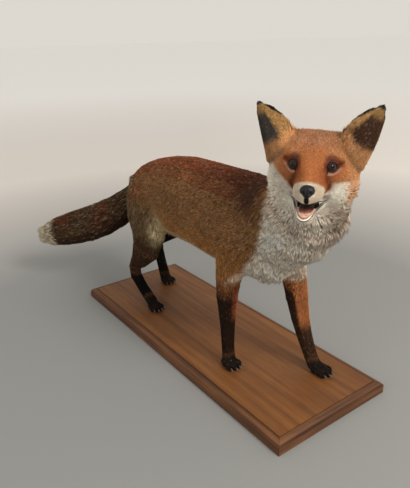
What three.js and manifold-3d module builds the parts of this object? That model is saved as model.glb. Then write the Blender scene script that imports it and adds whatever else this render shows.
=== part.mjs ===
// A mounted red fox on a moulded wooden board: walking stance, head turned to its right, jaws open.
// Millimetres. +X is the way the body faces, +Y the fox's left, +Z up. The origin is the centre of the
// board's underside. The solids reach to the tips of the coat.
import * as THREE from "three";
import { mergeVertices } from "three/addons/utils/BufferGeometryUtils.js";
import Module from "manifold-3d";

const wasm = await Module();
wasm.setup();

// ---- driving dimensions ---------------------------------------------------------------------------------
const board = { length: 800, width: 297, height: 26, side: 18, border: 16, groove: 1.6, ledge: 2.5 };
const gap = 0.3; // clearance left wherever two pieces meet
const farAway = 900; // half the side of a block that stands for half of space

// The head's pose is given at the midpoint between the eyes.
const headPose = { at: [373.5, -68.2, 512.9], yaw: -50.8, pitch: 5.2, roll: -3.4 };
const eye = { at: [-8.7, 26, -0.7], radius: 10.8 };
const nose = { at: [61.5, 0, -29.5], size: [9.5, 11.2, 9.9], nostril: [2.6, 2, 2.6] };
const nostrilPlace = [7.6, 5.4, -1]; // from the nose's middle, on the left side
const ear = { tipWidth: 11, depth: 26, wall: 4.5, rim: 1.2 };
const earPose = {
  right: { tip: [-42, -99, 90], innerBend: [-30, -62, 86], outerBend: [-50, -93, 46] },
  left: { tip: [-43, 95, 95], innerBend: [-30, 62, 93], outerBend: [-50, 99, 43] },
};
const tooth = { count: 11, gum: 3, cheek: 2.2, canine: 6 };
const claw = { length: 10, radius: 1.7, droop: 22 }; // droop in degrees below level
const colours = {
  red: 0xa8602f,
  flank: 0x94683f,
  white: 0xcfc8ba,
  dark: 0x2b221d,
  tail: 0x5f4733,
  tip: 0xd6cdbb,
  eye: 0x2b1a0c,
  nose: 0x16161a,
  tongue: 0xc79a90,
  gum: 0x6b3f3b,
  claw: 0x4a4036,
  wood: 0x7a4a2c,
};

// ---- geometry helpers -----------------------------------------------------------------------------------
const vec = (p) => new THREE.Vector3(...p);
const radians = THREE.MathUtils.degToRad;

// A closed geometry as a solid that can be cut and joined.
function solid(geometry) {
  const bare = new THREE.BufferGeometry().setAttribute("position", geometry.getAttribute("position"));
  if (geometry.index) bare.setIndex(geometry.index);
  const merged = mergeVertices(bare, 1e-3);
  const vertProperties = new Float32Array(merged.attributes.position.array);
  const triVerts = new Uint32Array(merged.index.array);
  return new wasm.Manifold(new wasm.Mesh({ numProp: 3, vertProperties, triVerts }));
}

function geometryOf(manifold) {
  const { vertProperties, triVerts, numProp } = manifold.getMesh();
  const position = vertProperties.filter((_, at) => at % numProp < 3);
  const geometry = new THREE.BufferGeometry();
  geometry.setAttribute("position", new THREE.BufferAttribute(position, 3));
  geometry.setIndex(new THREE.BufferAttribute(new Uint32Array(triVerts), 1));
  return geometry;
}

const join = (...solids) => solids.reduce((whole, next) => whole.add(next));
const moved = (geometry, matrix) => solid(geometry.clone().applyMatrix4(matrix));

// Where something stands: turned about X, Y and Z in degrees, stretched, then moved to `at`.
function placement(at, turns = [0, 0, 0], stretch = [1, 1, 1]) {
  const turn = new THREE.Quaternion().setFromEuler(new THREE.Euler(...turns.map(radians)));
  return new THREE.Matrix4().compose(vec(at), turn, vec(stretch));
}

function ellipsoid(at, size, around = 12, turns = [0, 0, 0]) {
  const rows = Math.max(4, Math.round(around / 2));
  return moved(new THREE.SphereGeometry(1, around, rows), placement(at, turns, size));
}

// The half of space past a plane, from gap/2 beyond it.
function beyond({ at, normal }) {
  const n = vec(normal).normalize();
  const turn = new THREE.Quaternion().setFromUnitVectors(new THREE.Vector3(0, 0, 1), n);
  const centre = vec(at).addScaledVector(n, farAway + gap / 2);
  const matrix = new THREE.Matrix4().compose(centre, turn, new THREE.Vector3(1, 1, 1));
  return moved(new THREE.BoxGeometry(2 * farAway, 2 * farAway, 2 * farAway), matrix);
}
const before = ({ at, normal }) => beyond({ at, normal: normal.map((c) => -c) });

// A closed surface through rings of points, with a pole at each end.
function skinned(rings, startPole, endPole) {
  const around = rings[0].length;
  const position = [...rings.flat(), startPole, endPole].flatMap((p) => p.toArray());
  const start = rings.length * around;
  const last = start - around;
  const index = [];
  for (let k = 0; k < around; k++) {
    const next = (k + 1) % around;
    index.push(start, next, k, start + 1, last + k, last + next);
    for (let ring = 0; ring < last; ring += around) {
      const corners = [k, next, around + next, k, around + next, around + k];
      index.push(...corners.map((corner) => ring + corner));
    }
  }
  const geometry = new THREE.BufferGeometry();
  geometry.setAttribute("position", new THREE.Float32BufferAttribute(position, 3));
  geometry.setIndex(index);
  return solid(geometry);
}

// A solid through oval sections with domed ends. Each station is [x, y, z, side, up, down, pear]: the
// section's centre, its half-width along `lateral`, its reach above and below, and how much wider it is
// low down.
// `power` squares the oval, `dome` is each end's length in mean radii, `swell` grows everything, and each of
// `bulges` is a soft rise (or a hollow, where its height is negative) round the point `at`.
function loft(stations, options = {}) {
  const { around = 20, along = 14, power = 2.1, dome = [0.4, 0.4], swell = 0, bulges = [] } = options;
  const lateral = new THREE.Vector3(0, 1, 0);
  const through = (part) => new THREE.CatmullRomCurve3(stations.map(part), false, "centripetal");
  const centres = through((s) => vec(s.slice(0, 3)));
  const sizes = through((s) => vec(s.slice(3, 6)));
  const pears = through((s) => new THREE.Vector3(s[6] ?? 0, 0, 0));
  const bend = (v) => Math.sign(v) * Math.abs(v) ** (2 / power);

  function ring(t, shift, scale) {
    const tangent = centres.getTangent(t);
    const side = lateral.clone().addScaledVector(tangent, -tangent.dot(lateral)).normalize();
    const up = new THREE.Vector3().crossVectors(tangent, side);
    const size = sizes.getPoint(t).addScalar(swell).multiplyScalar(scale);
    const pear = pears.getPoint(t).x;
    const centre = centres.getPoint(t).addScaledVector(tangent, shift);
    return Array.from({ length: around }, (_, k) => {
      const a = (2 * Math.PI * k) / around;
      const wide = size.x * bend(Math.cos(a)) * (1 - pear * Math.sin(a));
      const tall = (Math.sin(a) > 0 ? size.y : size.z) * bend(Math.sin(a));
      const point = centre.clone().addScaledVector(side, wide).addScaledVector(up, tall);
      const out = point.clone().sub(centre).normalize();
      const nearness = ({ at, radius }) => Math.exp(-vec(at).distanceToSquared(point) / radius ** 2);
      const rise = bulges.reduce((sum, bulge) => sum + bulge.height * nearness(bulge), 0);
      return point.addScaledVector(out, rise);
    });
  }
  const meanRadius = (t) => sizes.getPoint(t).dot(new THREE.Vector3(1, 1, 1)) / 3 + swell;
  const reach = [dome[0] * meanRadius(0), dome[1] * meanRadius(1)];
  const domeAngles = [28, 58].map(radians);
  const rings = [
    ...domeAngles.toReversed().map((a) => ring(0, -reach[0] * Math.sin(a), Math.cos(a))),
    ...Array.from({ length: along + 1 }, (_, i) => ring(i / along, 0, 1)),
    ...domeAngles.map((a) => ring(1, reach[1] * Math.sin(a), Math.cos(a))),
  ];
  const startPole = centres.getPoint(0).addScaledVector(centres.getTangent(0), -reach[0]);
  const endPole = centres.getPoint(1).addScaledVector(centres.getTangent(1), reach[1]);
  return skinned(rings, startPole, endPole);
}

// ---- the model's group ----------------------------------------------------------------------------------
const fox = new THREE.Group();
function addNode(name, manifold, colour, roughness = 0.9) {
  const material = new THREE.MeshStandardMaterial({ color: colour, roughness, metalness: 0 });
  const mesh = new THREE.Mesh(geometryOf(manifold), material);
  mesh.name = name;
  fox.add(mesh);
}

// What belongs to the head is shaped in the head's own frame: x to the nose, y to the fox's left, z up.
const headMatrix = new THREE.Matrix4()
  .makeTranslation(...headPose.at)
  .multiply(new THREE.Matrix4().makeRotationZ(radians(headPose.yaw)))
  .multiply(new THREE.Matrix4().makeRotationY(radians(-headPose.pitch)))
  .multiply(new THREE.Matrix4().makeRotationX(radians(headPose.roll)));
const onHead = (manifold) => manifold.transform(headMatrix.elements);
const headPoint = (p) => vec(p).applyMatrix4(headMatrix).toArray();
const sides = { right: -1, left: 1 };

// ---- trunk and neck -------------------------------------------------------------------------------------
function trunkShape(swell = 0) {
  const stations = [
    [-288, -2, 334, 40, 36, 46], // rump
    [-262, 0, 340, 62, 54, 72],
    [-215, 0, 343, 74, 76, 97],
    [-150, 0, 344, 74, 91, 110], // loin
    [-70, 0, 346, 76, 101, 108],
    [15, 0, 340, 80, 109, 99, 0.03], // rib cage
    [95, 0, 333, 82, 116, 96, 0.03],
    [160, 0, 332, 80, 117, 99], // shoulders
    [215, 0, 338, 74, 104, 102], // breast
  ];
  return loft(stations, { around: 18, along: 10, power: 2.15, dome: [0.35, 0.55], swell });
}

function neckShape(swell = 0) {
  const stations = [
    [120, 0, 345, 66, 92, 96],
    [195, 0, 366, 76, 84, 108],
    [252, 0, 397, 81, 69, 114], // ruff
    [298, -8, 434, 78, 57, 102],
    [330, -20, 468, 68, 50, 78],
  ];
  return loft(stations, { around: 18, along: 5, dome: [0.3, 0.3], swell });
}

// ---- head, in its own frame -----------------------------------------------------------------------------
// Soft forms on both sides of the head, each given for the left side.
const headForms = {
  whiskerPad: { at: [43, 22, -38], height: 5.5, radius: 13 },
  brow: { at: [-15, 27, 20], height: 3.5, radius: 15 },
  eyeSocket: { at: [1, 30, -1], height: -3.5, radius: 10 },
  cheek: { at: [-50, 66, -58], height: 9, radius: 32 },
  mouthCorner: { at: [4, 30, -46], height: 7, radius: 17 },
  earRoot: { at: [-50, 55, 46], height: 11, radius: 26 },
};

function headShape(swell = 0) {
  const stations = [
    [-112, 0, -16, 46, 40, 56],
    [-84, 0, -12, 67, 58, 66, 0.04],
    [-54, 0, -12, 73.5, 63, 68, 0.06], // ears and cheeks
    [-32, 0, -13, 67, 54, 63, 0.1],
    [-15, 0, -15, 52, 42, 52, 0.12], // behind the eyes
    [1, 0, -17, 32, 32, 34, 0.16],
    [18, 0, -23, 23.5, 26.5, 25, 0.14], // end of the stop
    [36, 0, -29, 20, 19, 21, 0.12],
    [52, 0, -31.5, 17, 13.5, 18.5, 0.06],
    [60, 0, -33, 13, 10.5, 16.5], // lip under the nose
  ];
  const bulges = Object.values(headForms).flatMap((form) =>
    [-1, 1].map((side) => ({ ...form, at: [form.at[0], side * form.at[1], form.at[2]] })),
  );
  return loft(stations, { around: 24, along: 14, dome: [0.4, 0.45], swell, bulges });
}

const mouthRoom = (swell = 0) => ellipsoid([13, 0, -58], [36, 17, 10.5].map((half) => half + swell), 10);

function jawShape() {
  const stations = [
    [-34, 0, -58, 32, 10, 16],
    [-6, -0.5, -63, 26, 9, 13],
    [14, -1.5, -69, 19, 7.5, 11],
    [30, -2.5, -74, 13.3, 6, 8.5],
    [42, -3, -77, 9.8, 4.5, 5.5],
  ];
  return loft(stations, { around: 10, along: 4, power: 2.2, dome: [0.3, 0.5] });
}

function tongueShape(swell = 0) {
  const stations = [
    [-14, 0, -57, 11, 4, 5],
    [8, -1, -62, 10.5, 4, 4.5],
    [24, -2, -67, 8.6, 3.5, 4],
    [35, -2.8, -71, 5.2, 2.4, 3],
  ];
  return loft(stations, { around: 10, along: 3, dome: [0.3, 0.7], swell });
}

const noseShape = (swell = 0) => ellipsoid(nose.at, nose.size.map((half) => half + swell), 12);
function nostril(side) {
  const at = nose.at.map((middle, axis) => middle + nostrilPlace[axis] * (axis === 1 ? side : 1));
  return ellipsoid(at, nose.nostril, 6, [0, 0, side * 30]);
}
const eyeShape = (side, swell = 0) =>
  ellipsoid([eye.at[0], side * eye.at[1], eye.at[2]], Array(3).fill(eye.radius + swell), 10);

const middleOf = (points) =>
  points.reduce((sum, p) => sum.add(p), new THREE.Vector3()).multiplyScalar(1 / points.length);

// A gum that runs round a jaw in a U, `front` and `back` along X, `half` wide, between two heights, with its
// front `aside` of the middle.
function gumArch({ front, back, half, heights, aside }, swell = 0) {
  const onArch = (t) => {
    const a = Math.PI * (t - 0.5);
    const depth = 1 - Math.cos(a) ** 0.75;
    const across = half * Math.sin(a) * (0.72 + 0.28 * depth) + aside * (1 - depth);
    const level = heights[0] + (heights[1] - heights[0]) * depth;
    return new THREE.Vector3(front - (front - back) * depth, across, level);
  };
  const steps = 7;
  const reach = tooth.gum / 2 + swell;
  const rings = Array.from({ length: steps + 1 }, (_, i) => {
    const t = 0.06 + (0.88 * i) / steps;
    const ahead = onArch(t + 0.02).sub(onArch(t - 0.02)).normalize();
    const out = new THREE.Vector3(ahead.y, -ahead.x, 0).normalize();
    const up = new THREE.Vector3().crossVectors(out, ahead);
    return [[-1, 1], [1, 1], [1, -1], [-1, -1]].map(([o, u]) =>
      onArch(t).addScaledVector(out, o * reach).addScaledVector(up, u * reach),
    );
  });
  return { arch: skinned(rings, middleOf(rings[0]), middleOf(rings.at(-1))), onArch };
}

// A gum with its row of teeth: small ones in front, a canine at each corner, then the cheek teeth.
function gumAndTeeth(gum, swell = 0) {
  const { arch, onArch } = gumArch(gum, swell);
  const teeth = Array.from({ length: tooth.count }, (_, n) => {
    const isCanine = Math.abs(n - (tooth.count - 1) / 2) === 3;
    const height = (isCanine ? tooth.canine : tooth.cheek) + 1 + swell;
    const at = onArch(0.08 + (0.84 * n) / (tooth.count - 1));
    at.z += gum.facing * (tooth.gum / 2 + height / 2 - 1);
    const cone = new THREE.ConeGeometry((isCanine ? 1.6 : 1.25) + 1.4 * swell, height, 4);
    return moved(cone, placement(at.toArray(), [gum.facing * 90, 0, 0]));
  });
  return join(arch, ...teeth);
}
const upperGum = { front: 51, back: 12, half: 12.5, heights: [-46, -43.5], aside: 0, facing: -1 };
const lowerGum = { front: 44.5, back: 8, half: 14, heights: [-73, -61], aside: -2.8, facing: 1 };

// An ear is a cup between two edge curves that meet at its tip.
function earShape(hand) {
  const side = sides[hand];
  const rows = 6;
  const columns = 6;
  const { tip: tipAt, innerBend, outerBend } = earPose[hand];
  const tip = vec(tipAt);
  const edge = (out, base, bend) => {
    const end = tip.clone().add(new THREE.Vector3(0, (side * out * ear.tipWidth) / 2, -2 * out - 2));
    return new THREE.QuadraticBezierCurve3(vec(base), vec(bend), end);
  };
  const inner = edge(-1, [-46, side * 30, 42], innerBend);
  const outer = edge(1, [-56, side * 79, -8], outerBend);
  const centreOf = (v) => inner.getPoint(v).lerp(outer.getPoint(v), 0.5);
  const angle = (k) => Math.PI * (k / (columns - 1) - 0.5);
  const rings = Array.from({ length: rows + 1 }, (_, row) => {
    const v = row / rows;
    const across = outer.getPoint(v).sub(inner.getPoint(v)).multiplyScalar(0.5);
    const half = across.length();
    across.normalize();
    const rise = centreOf(Math.min(v + 0.02, 1)).sub(centreOf(Math.min(v, 0.98))).normalize();
    const back = new THREE.Vector3().crossVectors(across, rise).multiplyScalar(side).normalize();
    const depth = ear.depth * (1 - v) ** 0.8 + 3;
    const wall = Math.min(ear.wall * (1 - 0.45 * v), depth - 0.8);
    const point = (a, wide, deep, lift) => {
      const beside = centreOf(v).addScaledVector(across, wide * Math.sin(a));
      return beside.addScaledVector(back, deep * Math.cos(a) - lift);
    };
    const outside = Array.from({ length: columns }, (_, k) => point(angle(k), half, depth, 0));
    const turnedBack = outside.map((_, k) => angle(columns - 1 - k));
    const inside = turnedBack.map((a) => point(a, half - ear.rim, depth - wall, ear.rim));
    return side > 0 ? [...outside, ...inside] : [...outside, ...inside].reverse();
  });
  const pointing = tip.clone().sub(centreOf(0.9)).normalize();
  return skinned(rings, middleOf(rings[0]), tip.addScaledVector(pointing, 1.5));
}

// ---- legs -----------------------------------------------------------------------------------------------
const soleLevel = board.height + gap; // the paws stand on the board
const toe = { count: 4, at: 12, spacing: 9, size: [14, 6.2, 8.5], height: 7.4 };

// A leg runs through stations [x, y, z, half-width, reach ahead, reach behind] down to the ankle. `cuts` part
// it into its lengths, `heading` is the way the paw points, in degrees, and `pawAt` is the paw's middle.
const legs = {
  foreleg_right: {
    stations: [
      [168, -44, 352, 30, 46, 52], // shoulder blade
      [162, -52, 300, 32, 42, 48],
      [152, -58, 258, 29, 33, 38], // elbow
      [148, -62, 218, 24, 26, 30],
      [147, -64, 180, 21, 21.5, 23.5],
      [147, -64, 135, 16.5, 16.5, 17.5],
      [148, -65, 100, 15, 15, 15.5], // wrist
      [149, -65.5, 70, 14, 13.5, 14],
      [152, -66, 40, 14.5, 15, 14],
    ],
    parts: ["upper", "lower", "paw"],
    cuts: [{ at: [148, -63, 196], normal: [0, 0, -1] }, { at: [150, -65, 58], normal: [0.15, 0, -1] }],
    heading: 4,
    pawAt: [161, -67],
  },
  foreleg_left: {
    stations: [
      [178, 44, 352, 30, 46, 52],
      [200, 50, 300, 32, 42, 46],
      [221, 51, 258, 28, 32, 37],
      [234, 50, 218, 24.5, 24, 28],
      [244, 51, 165, 21, 20, 22],
      [254, 55, 120, 17.5, 16.5, 17.5],
      [263, 59, 88, 15.5, 15, 15.5],
      [272, 61.5, 64, 14.5, 14, 14],
      [284, 64, 40, 14.5, 15, 14],
    ],
    parts: ["upper", "lower", "paw"],
    cuts: [{ at: [238, 50, 196], normal: [0.2, 0, -1] }, { at: [276, 62, 57], normal: [0.35, 0, -1] }],
    heading: 12,
    pawAt: [300, 68],
  },
  hindleg_right: {
    stations: [
      [-240, -32, 368, 34, 48, 38], // hip
      [-230, -46, 330, 37, 62, 50],
      [-210, -56, 285, 37, 82, 60], // thigh
      [-193, -61, 242, 33, 83, 50], // knee
      [-204, -65, 198, 26, 57, 36],
      [-231, -67, 156, 19, 32, 26],
      [-257, -69, 122, 15.5, 16, 20], // hock
      [-254, -69, 98, 14.5, 15, 18],
      [-222, -67, 70, 14, 13, 13.5],
      [-182, -65, 44, 15, 14.5, 13],
    ],
    parts: ["thigh", "shank", "hock", "paw"],
    cuts: [
      { at: [-205, -64, 205], normal: [-0.35, 0, -1] },
      { at: [-259, -69, 112], normal: [-0.1, 0, -1] },
      { at: [-198, -66, 56], normal: [0.8, 0, -0.6] },
    ],
    heading: 2,
    pawAt: [-168, -64],
  },
  hindleg_left: {
    stations: [
      [-240, 32, 368, 34, 48, 38],
      [-238, 44, 330, 37, 74, 50],
      [-234, 50, 285, 36, 94, 58],
      [-230, 52, 242, 31, 74, 48],
      [-262, 51, 203, 24, 34, 34],
      [-298, 49, 173, 18, 23, 24],
      [-326, 47, 148, 15.5, 17, 20],
      [-326, 47, 124, 14.5, 15, 17],
      [-315, 48, 88, 14, 13, 14],
      [-300, 49, 44, 15, 15, 14],
    ],
    parts: ["thigh", "shank", "hock", "paw"],
    cuts: [
      { at: [-250, 52, 212], normal: [-0.6, 0, -1] },
      { at: [-328, 47, 138], normal: [-0.1, 0, -1] },
      { at: [-305, 49, 58], normal: [0.25, 0, -1] },
    ],
    heading: 2,
    pawAt: [-288, 50],
  },
};

const legShape = (leg) => loft(leg.stations, { around: 10, along: 9, dome: [0.3, 0.3] });
const toeOffsets = Array.from({ length: toe.count }, (_, n) => n - (toe.count - 1) / 2);
const pawMatrix = ({ pawAt: [x, y], heading }) => placement([x, y, soleLevel], [0, 0, heading]).elements;

function toeShape(offset, swell = 0) {
  const size = [toe.size[0] - Math.abs(offset), toe.size[2], toe.size[1]].map((half) => half + swell);
  const ahead = toe.at - 3.2 * Math.abs(offset) ** 1.5;
  return ellipsoid([ahead, offset * toe.spacing, toe.height], size, 6, [90, offset * 7, -8]);
}

function pawShape(leg) {
  const pad = ellipsoid([-6, 0, 9], [22, 17, 15], 7);
  return join(pad, ...toeOffsets.map((offset) => toeShape(offset))).transform(pawMatrix(leg));
}

// The claw of one toe: a cone that leans forward and down out of the toe.
function clawShape(leg, offset) {
  const front = toe.at + toe.size[0] - 3.2 * Math.abs(offset) ** 1.5 - Math.abs(offset);
  const cone = new THREE.ConeGeometry(claw.radius, claw.length, 5);
  const turned = placement([0, 0, 0], [90, 0, 0]).multiply(placement([0, 0, 0], [0, 0, -90 - claw.droop]));
  const at = placement([front, offset * toe.spacing * 1.12, toe.height - 0.5], [0, 0, offset * 7]);
  return moved(cone, at.multiply(turned)).subtract(toeShape(offset, gap)).transform(pawMatrix(leg));
}

// ---- tail -----------------------------------------------------------------------------------------------
function tailShape() {
  const stations = [
    [-268, -2, 338, 24, 24, 28], // root
    [-308, -14, 312, 33, 31, 36],
    [-350, -38, 266, 44, 42, 47],
    [-398, -72, 229, 51, 49, 53],
    [-450, -106, 202, 53, 51, 55],
    [-495, -141, 184, 51, 49, 52],
    [-530, -175, 172, 45, 44, 46],
    [-550, -197, 166, 34, 35, 35], // tip
  ];
  return loft(stations, { around: 12, along: 9, dome: [0.3, 0.75] });
}
const tailCuts = [
  { at: [-362, -47, 257], normal: [-0.72, -0.5, -0.48] },
  { at: [-533, -179, 171], normal: [-0.68, -0.71, -0.18] },
];

// ---- base -----------------------------------------------------------------------------------------------
// One side strip of the board: a moulded section along X, mitred at both ends, `out` from the middle.
function mouldingStrip({ length, turn, out }) {
  const { height, side, border, groove, ledge } = board;
  const section = new THREE.Shape()
    .moveTo(0, 0)
    .lineTo(border - gap, 0)
    .lineTo(border - gap, height - groove)
    .lineTo(border - 1.5, height - groove)
    .lineTo(border - 2.5, height - 0.3)
    .quadraticCurveTo(ledge + 1, height - 1, ledge, side + groove)
    .lineTo(ledge, side)
    .lineTo(0, side)
    .closePath();
  const settings = { depth: length, bevelEnabled: false, curveSegments: 5 };
  const extruded = new THREE.ExtrudeGeometry(section, settings);
  const lying = new THREE.Matrix4().set(0, 0, 1, -length / 2, 1, 0, 0, -out, 0, 1, 0, 0, 0, 0, 0, 1);
  const mitre = (end) => before({ at: [(end * length) / 2, -out, 0], normal: [end, 1, 0] });
  const mitred = moved(extruded, lying).intersect(mitre(-1)).intersect(mitre(1));
  return mitred.transform(placement([0, 0, 0], [0, 0, turn]).elements);
}

// ---- assembly -------------------------------------------------------------------------------------------
const shoulderCut = { at: [222, 0, 330], normal: [0.86, 0, 0.5] };
const napeCut = { at: headPoint([-94, 0, -46]), normal: [0.66, -0.3, 0.69] };

const bodyShape = (swell) => join(trunkShape(swell), neckShape(swell), onHead(headShape(swell)));
const body = bodyShape(0);
const grownBody = bodyShape(gap);
const throat = grownBody.subtract(onHead(mouthRoom(-gap)));
const eyeHollows = join(eyeShape(-1, gap), eyeShape(1, gap));
const headHollows = join(noseShape(gap), eyeHollows, mouthRoom(), gumAndTeeth(upperGum, gap));
const jawHollows = join(tongueShape(gap), gumArch(lowerGum, gap).arch);

addNode("trunk", body.intersect(before(shoulderCut)), colours.flank);
addNode("neck", body.intersect(beyond(shoulderCut)).intersect(before(napeCut)), colours.white);
addNode("head", body.intersect(beyond(napeCut)).subtract(onHead(headHollows)), colours.red);
addNode("lower_jaw", onHead(jawShape().subtract(jawHollows)).subtract(throat), colours.white);
addNode("tongue", onHead(tongueShape()).subtract(throat), colours.tongue, 0.4);
addNode("gum_and_teeth_upper", onHead(gumAndTeeth(upperGum)), colours.gum, 0.4);
addNode("gum_and_teeth_lower", onHead(gumAndTeeth(lowerGum)), colours.gum, 0.4);
addNode("nose", onHead(noseShape().subtract(nostril(-1)).subtract(nostril(1))), colours.nose, 0.5);
for (const [hand, side] of Object.entries(sides)) {
  addNode("eye_" + hand, onHead(eyeShape(side)), colours.eye, 0.1);
  addNode("ear_" + hand, onHead(earShape(hand)).subtract(grownBody), colours.dark);
}

for (const [name, leg] of Object.entries(legs)) {
  let rest = legShape(leg).add(pawShape(leg)).subtract(grownBody);
  leg.cuts.forEach((cut, n) => {
    const part = leg.parts[n];
    addNode(`${name}_${part}`, rest.intersect(before(cut)), part === "hock" ? colours.dark : colours.red);
    rest = rest.intersect(beyond(cut));
  });
  const aboveSole = beyond({ at: [0, 0, soleLevel - gap / 2], normal: [0, 0, 1] });
  addNode(`${name}_${leg.parts.at(-1)}`, rest.intersect(aboveSole), colours.dark);
  toeOffsets.forEach((offset, n) => {
    addNode(`${name}_claw_${n + 1}`, clawShape(leg, offset), colours.claw, 0.5);
  });
}

let restOfTail = tailShape().subtract(grownBody);
tailCuts.forEach((cut, n) => {
  addNode(["tail_root", "tail_middle"][n], restOfTail.intersect(before(cut)), colours.tail);
  restOfTail = restOfTail.intersect(beyond(cut));
});
addNode("tail_tip", restOfTail, colours.tip);

const panelSize = [board.length, board.width].map((span) => span - 2 * board.border);
const panel = new THREE.BoxGeometry(...panelSize, board.height);
addNode("base_panel", moved(panel, placement([0, 0, board.height / 2])), colours.wood, 0.45);
["right", "front", "left", "rear"].forEach((where, n) => {
  const [length, across] = n % 2 ? [board.width, board.length] : [board.length, board.width];
  const strip = mouldingStrip({ length, turn: 90 * n, out: across / 2 });
  addNode("base_moulding_" + where, strip, colours.wood, 0.45);
});

export default fox;
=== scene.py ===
"""A mounted red fox on a moulded wooden board.

One skin stands for the nodes of flesh and lies inside them by the depth of the coat. The coat is joined
meshes of thin tufts that grow out of the skin along the lie of the hair. Metres in the row frame; sizes
named in millimetres are multiplied by MM.
"""
import math

import bmesh
import bpy
import numpy as np
from mathutils import Matrix, Vector, kdtree
from mathutils.bvhtree import BVHTree


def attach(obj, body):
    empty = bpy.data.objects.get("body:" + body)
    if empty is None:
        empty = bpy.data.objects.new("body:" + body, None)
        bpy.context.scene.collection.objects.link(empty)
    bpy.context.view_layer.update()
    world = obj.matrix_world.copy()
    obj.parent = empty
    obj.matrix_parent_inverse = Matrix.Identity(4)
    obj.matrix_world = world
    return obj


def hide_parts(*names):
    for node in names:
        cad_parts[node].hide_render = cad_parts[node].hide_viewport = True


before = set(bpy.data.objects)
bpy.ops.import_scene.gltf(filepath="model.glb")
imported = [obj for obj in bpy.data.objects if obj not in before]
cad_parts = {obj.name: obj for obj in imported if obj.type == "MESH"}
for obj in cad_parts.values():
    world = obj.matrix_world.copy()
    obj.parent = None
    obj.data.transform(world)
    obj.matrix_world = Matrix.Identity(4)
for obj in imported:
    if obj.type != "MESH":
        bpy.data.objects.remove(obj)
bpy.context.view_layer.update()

MM = 0.001
random = np.random.default_rng(20)

# ---- driving values ----
HEAD_AT = np.array([0.3735, -0.0682, 0.5129])  # midpoint between the eyes
HEAD_TURNS = (-50.8, 5.2, -3.4)  # yaw, pitch and roll in degrees
VOXEL = 2.6 * MM
SIDES = {"right": -1, "left": 1}
PIECE_TUFTS = 32000  # tufts in one coat piece at most

# Middle lines of the body's parts, in millimetres, from the root of each part to its end. The ears' lines
# are in the head's own millimetres: to the nose, to the fox's left, up.
EAR_LINE = {"right": [(-48, -50, 25), (-42, -99, 90)], "left": [(-48, 50, 25), (-43, 95, 95)]}
LINES = {
    "body": [(-300, 0, 340), (60, 0, 340), (215, 0, 360), (330, -20, 470)],
    "tail": [(-268, -2, 338), (-350, -38, 266), (-450, -106, 202), (-550, -197, 166)],
    "foreleg_right": [(162, -52, 320), (147, -62, 218), (147, -64, 135), (152, -66, 40)],
    "foreleg_left": [(190, 50, 320), (234, 50, 218), (254, 55, 120), (284, 64, 40)],
    "hindleg_right": [(-225, -46, 330), (-200, -60, 230), (-257, -69, 118), (-182, -65, 44)],
    "hindleg_left": [(-236, 44, 330), (-240, 52, 230), (-327, 47, 140), (-300, 49, 44)],
}

# What each region's coat is: depth over the skin, length and width of a tuft in millimetres, the skin in
# square millimetres to one tuft, how far tufts lean together into locks, and how far their tips stand out.
COAT = {
    "trunk": (5.5, 15.0, 1.15, 3.25, 0.15, 0.6),
    "neck": (10.0, 25.0, 1.05, 3.0, 0.35, 0.85),
    "head": (2.0, 5.5, 0.8, 1.15, 0.0, 0.75),
    "jaw": (2.6, 7.0, 0.85, 1.4, 0.2, 0.85),
    "ear": (0.7, 4.0, 0.65, 1.5, 0.0, 0.7),
    "upper": (4.0, 12.0, 1.1, 3.0, 0.1, 0.65),
    "lower": (1.5, 6.0, 0.85, 2.0, 0.0, 0.7),
    "thigh": (5.5, 16.0, 1.2, 3.4, 0.25, 0.65),
    "shank": (3.0, 9.0, 1.0, 2.6, 0.1, 0.65),
    "hock": (1.5, 6.0, 0.85, 2.0, 0.0, 0.7),
    "paw": (1.0, 4.5, 0.8, 1.7, 0.0, 0.7),
    "tail": (11.0, 28.0, 1.5, 3.6, 0.4, 0.8),
}
REGIONS = list(COAT)
STYLES = ("depth", "length", "width", "spacing", "lean", "stand")


# ---- numbers and vectors ----
def ease(value, low, high):
    """Rises softly from 0 at `low` to 1 at `high`."""
    t = np.clip((value - low) / (high - low), 0, 1)
    return t * t * (3 - 2 * t)


def unit(vectors):
    return vectors / np.maximum(np.linalg.norm(vectors, axis=-1, keepdims=True), 1e-9)


def columns(*parts):
    return np.stack(parts, axis=1)


def lengths(vectors):
    return np.linalg.norm(vectors, axis=1)


def dot(a, b):
    return (a * b).sum(-1)


def rgb(red, green, blue):
    """A colour written as on a screen, 0 to 255, as linear light."""
    c = np.array([red, green, blue]) / 255
    return np.where(c <= 0.04045, c / 12.92, ((c + 0.055) / 1.055) ** 2.4)


def head_axes():
    """The head's own axes as columns: to the nose, to the fox's left, up."""
    yaw, pitch, roll = (math.radians(a) for a in HEAD_TURNS)
    turn = Matrix.Rotation(yaw, 3, "Z") @ Matrix.Rotation(-pitch, 3, "Y") @ Matrix.Rotation(roll, 3, "X")
    return np.array(turn)


HEAD_AXES = head_axes()


def to_head(points):
    """Points of the row frame in the head's own millimetres."""
    return (points - HEAD_AT) @ HEAD_AXES / MM


def from_head(points):
    return np.asarray(points, float) * MM @ HEAD_AXES.T + HEAD_AT


for hand, ends in EAR_LINE.items():
    LINES["ear_" + hand] = [tuple(p / MM) for p in from_head(ends)]
LINES["head"] = [tuple(p / MM) for p in from_head([(62, 0, -28), (-110, 0, -16)])]


def blob(points, centre, radius):
    """1 at a centre, falling softly to nothing at about two radii."""
    return np.exp(-(((points - np.asarray(centre, float)) / radius) ** 2).sum(-1))


def segment_distance(points, start, end):
    start, end = np.asarray(start, float), np.asarray(end, float)
    way = end - start
    share = np.clip((points - start) @ way / (way @ way), 0, 1)
    return lengths(points - start - share[:, None] * way)


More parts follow.
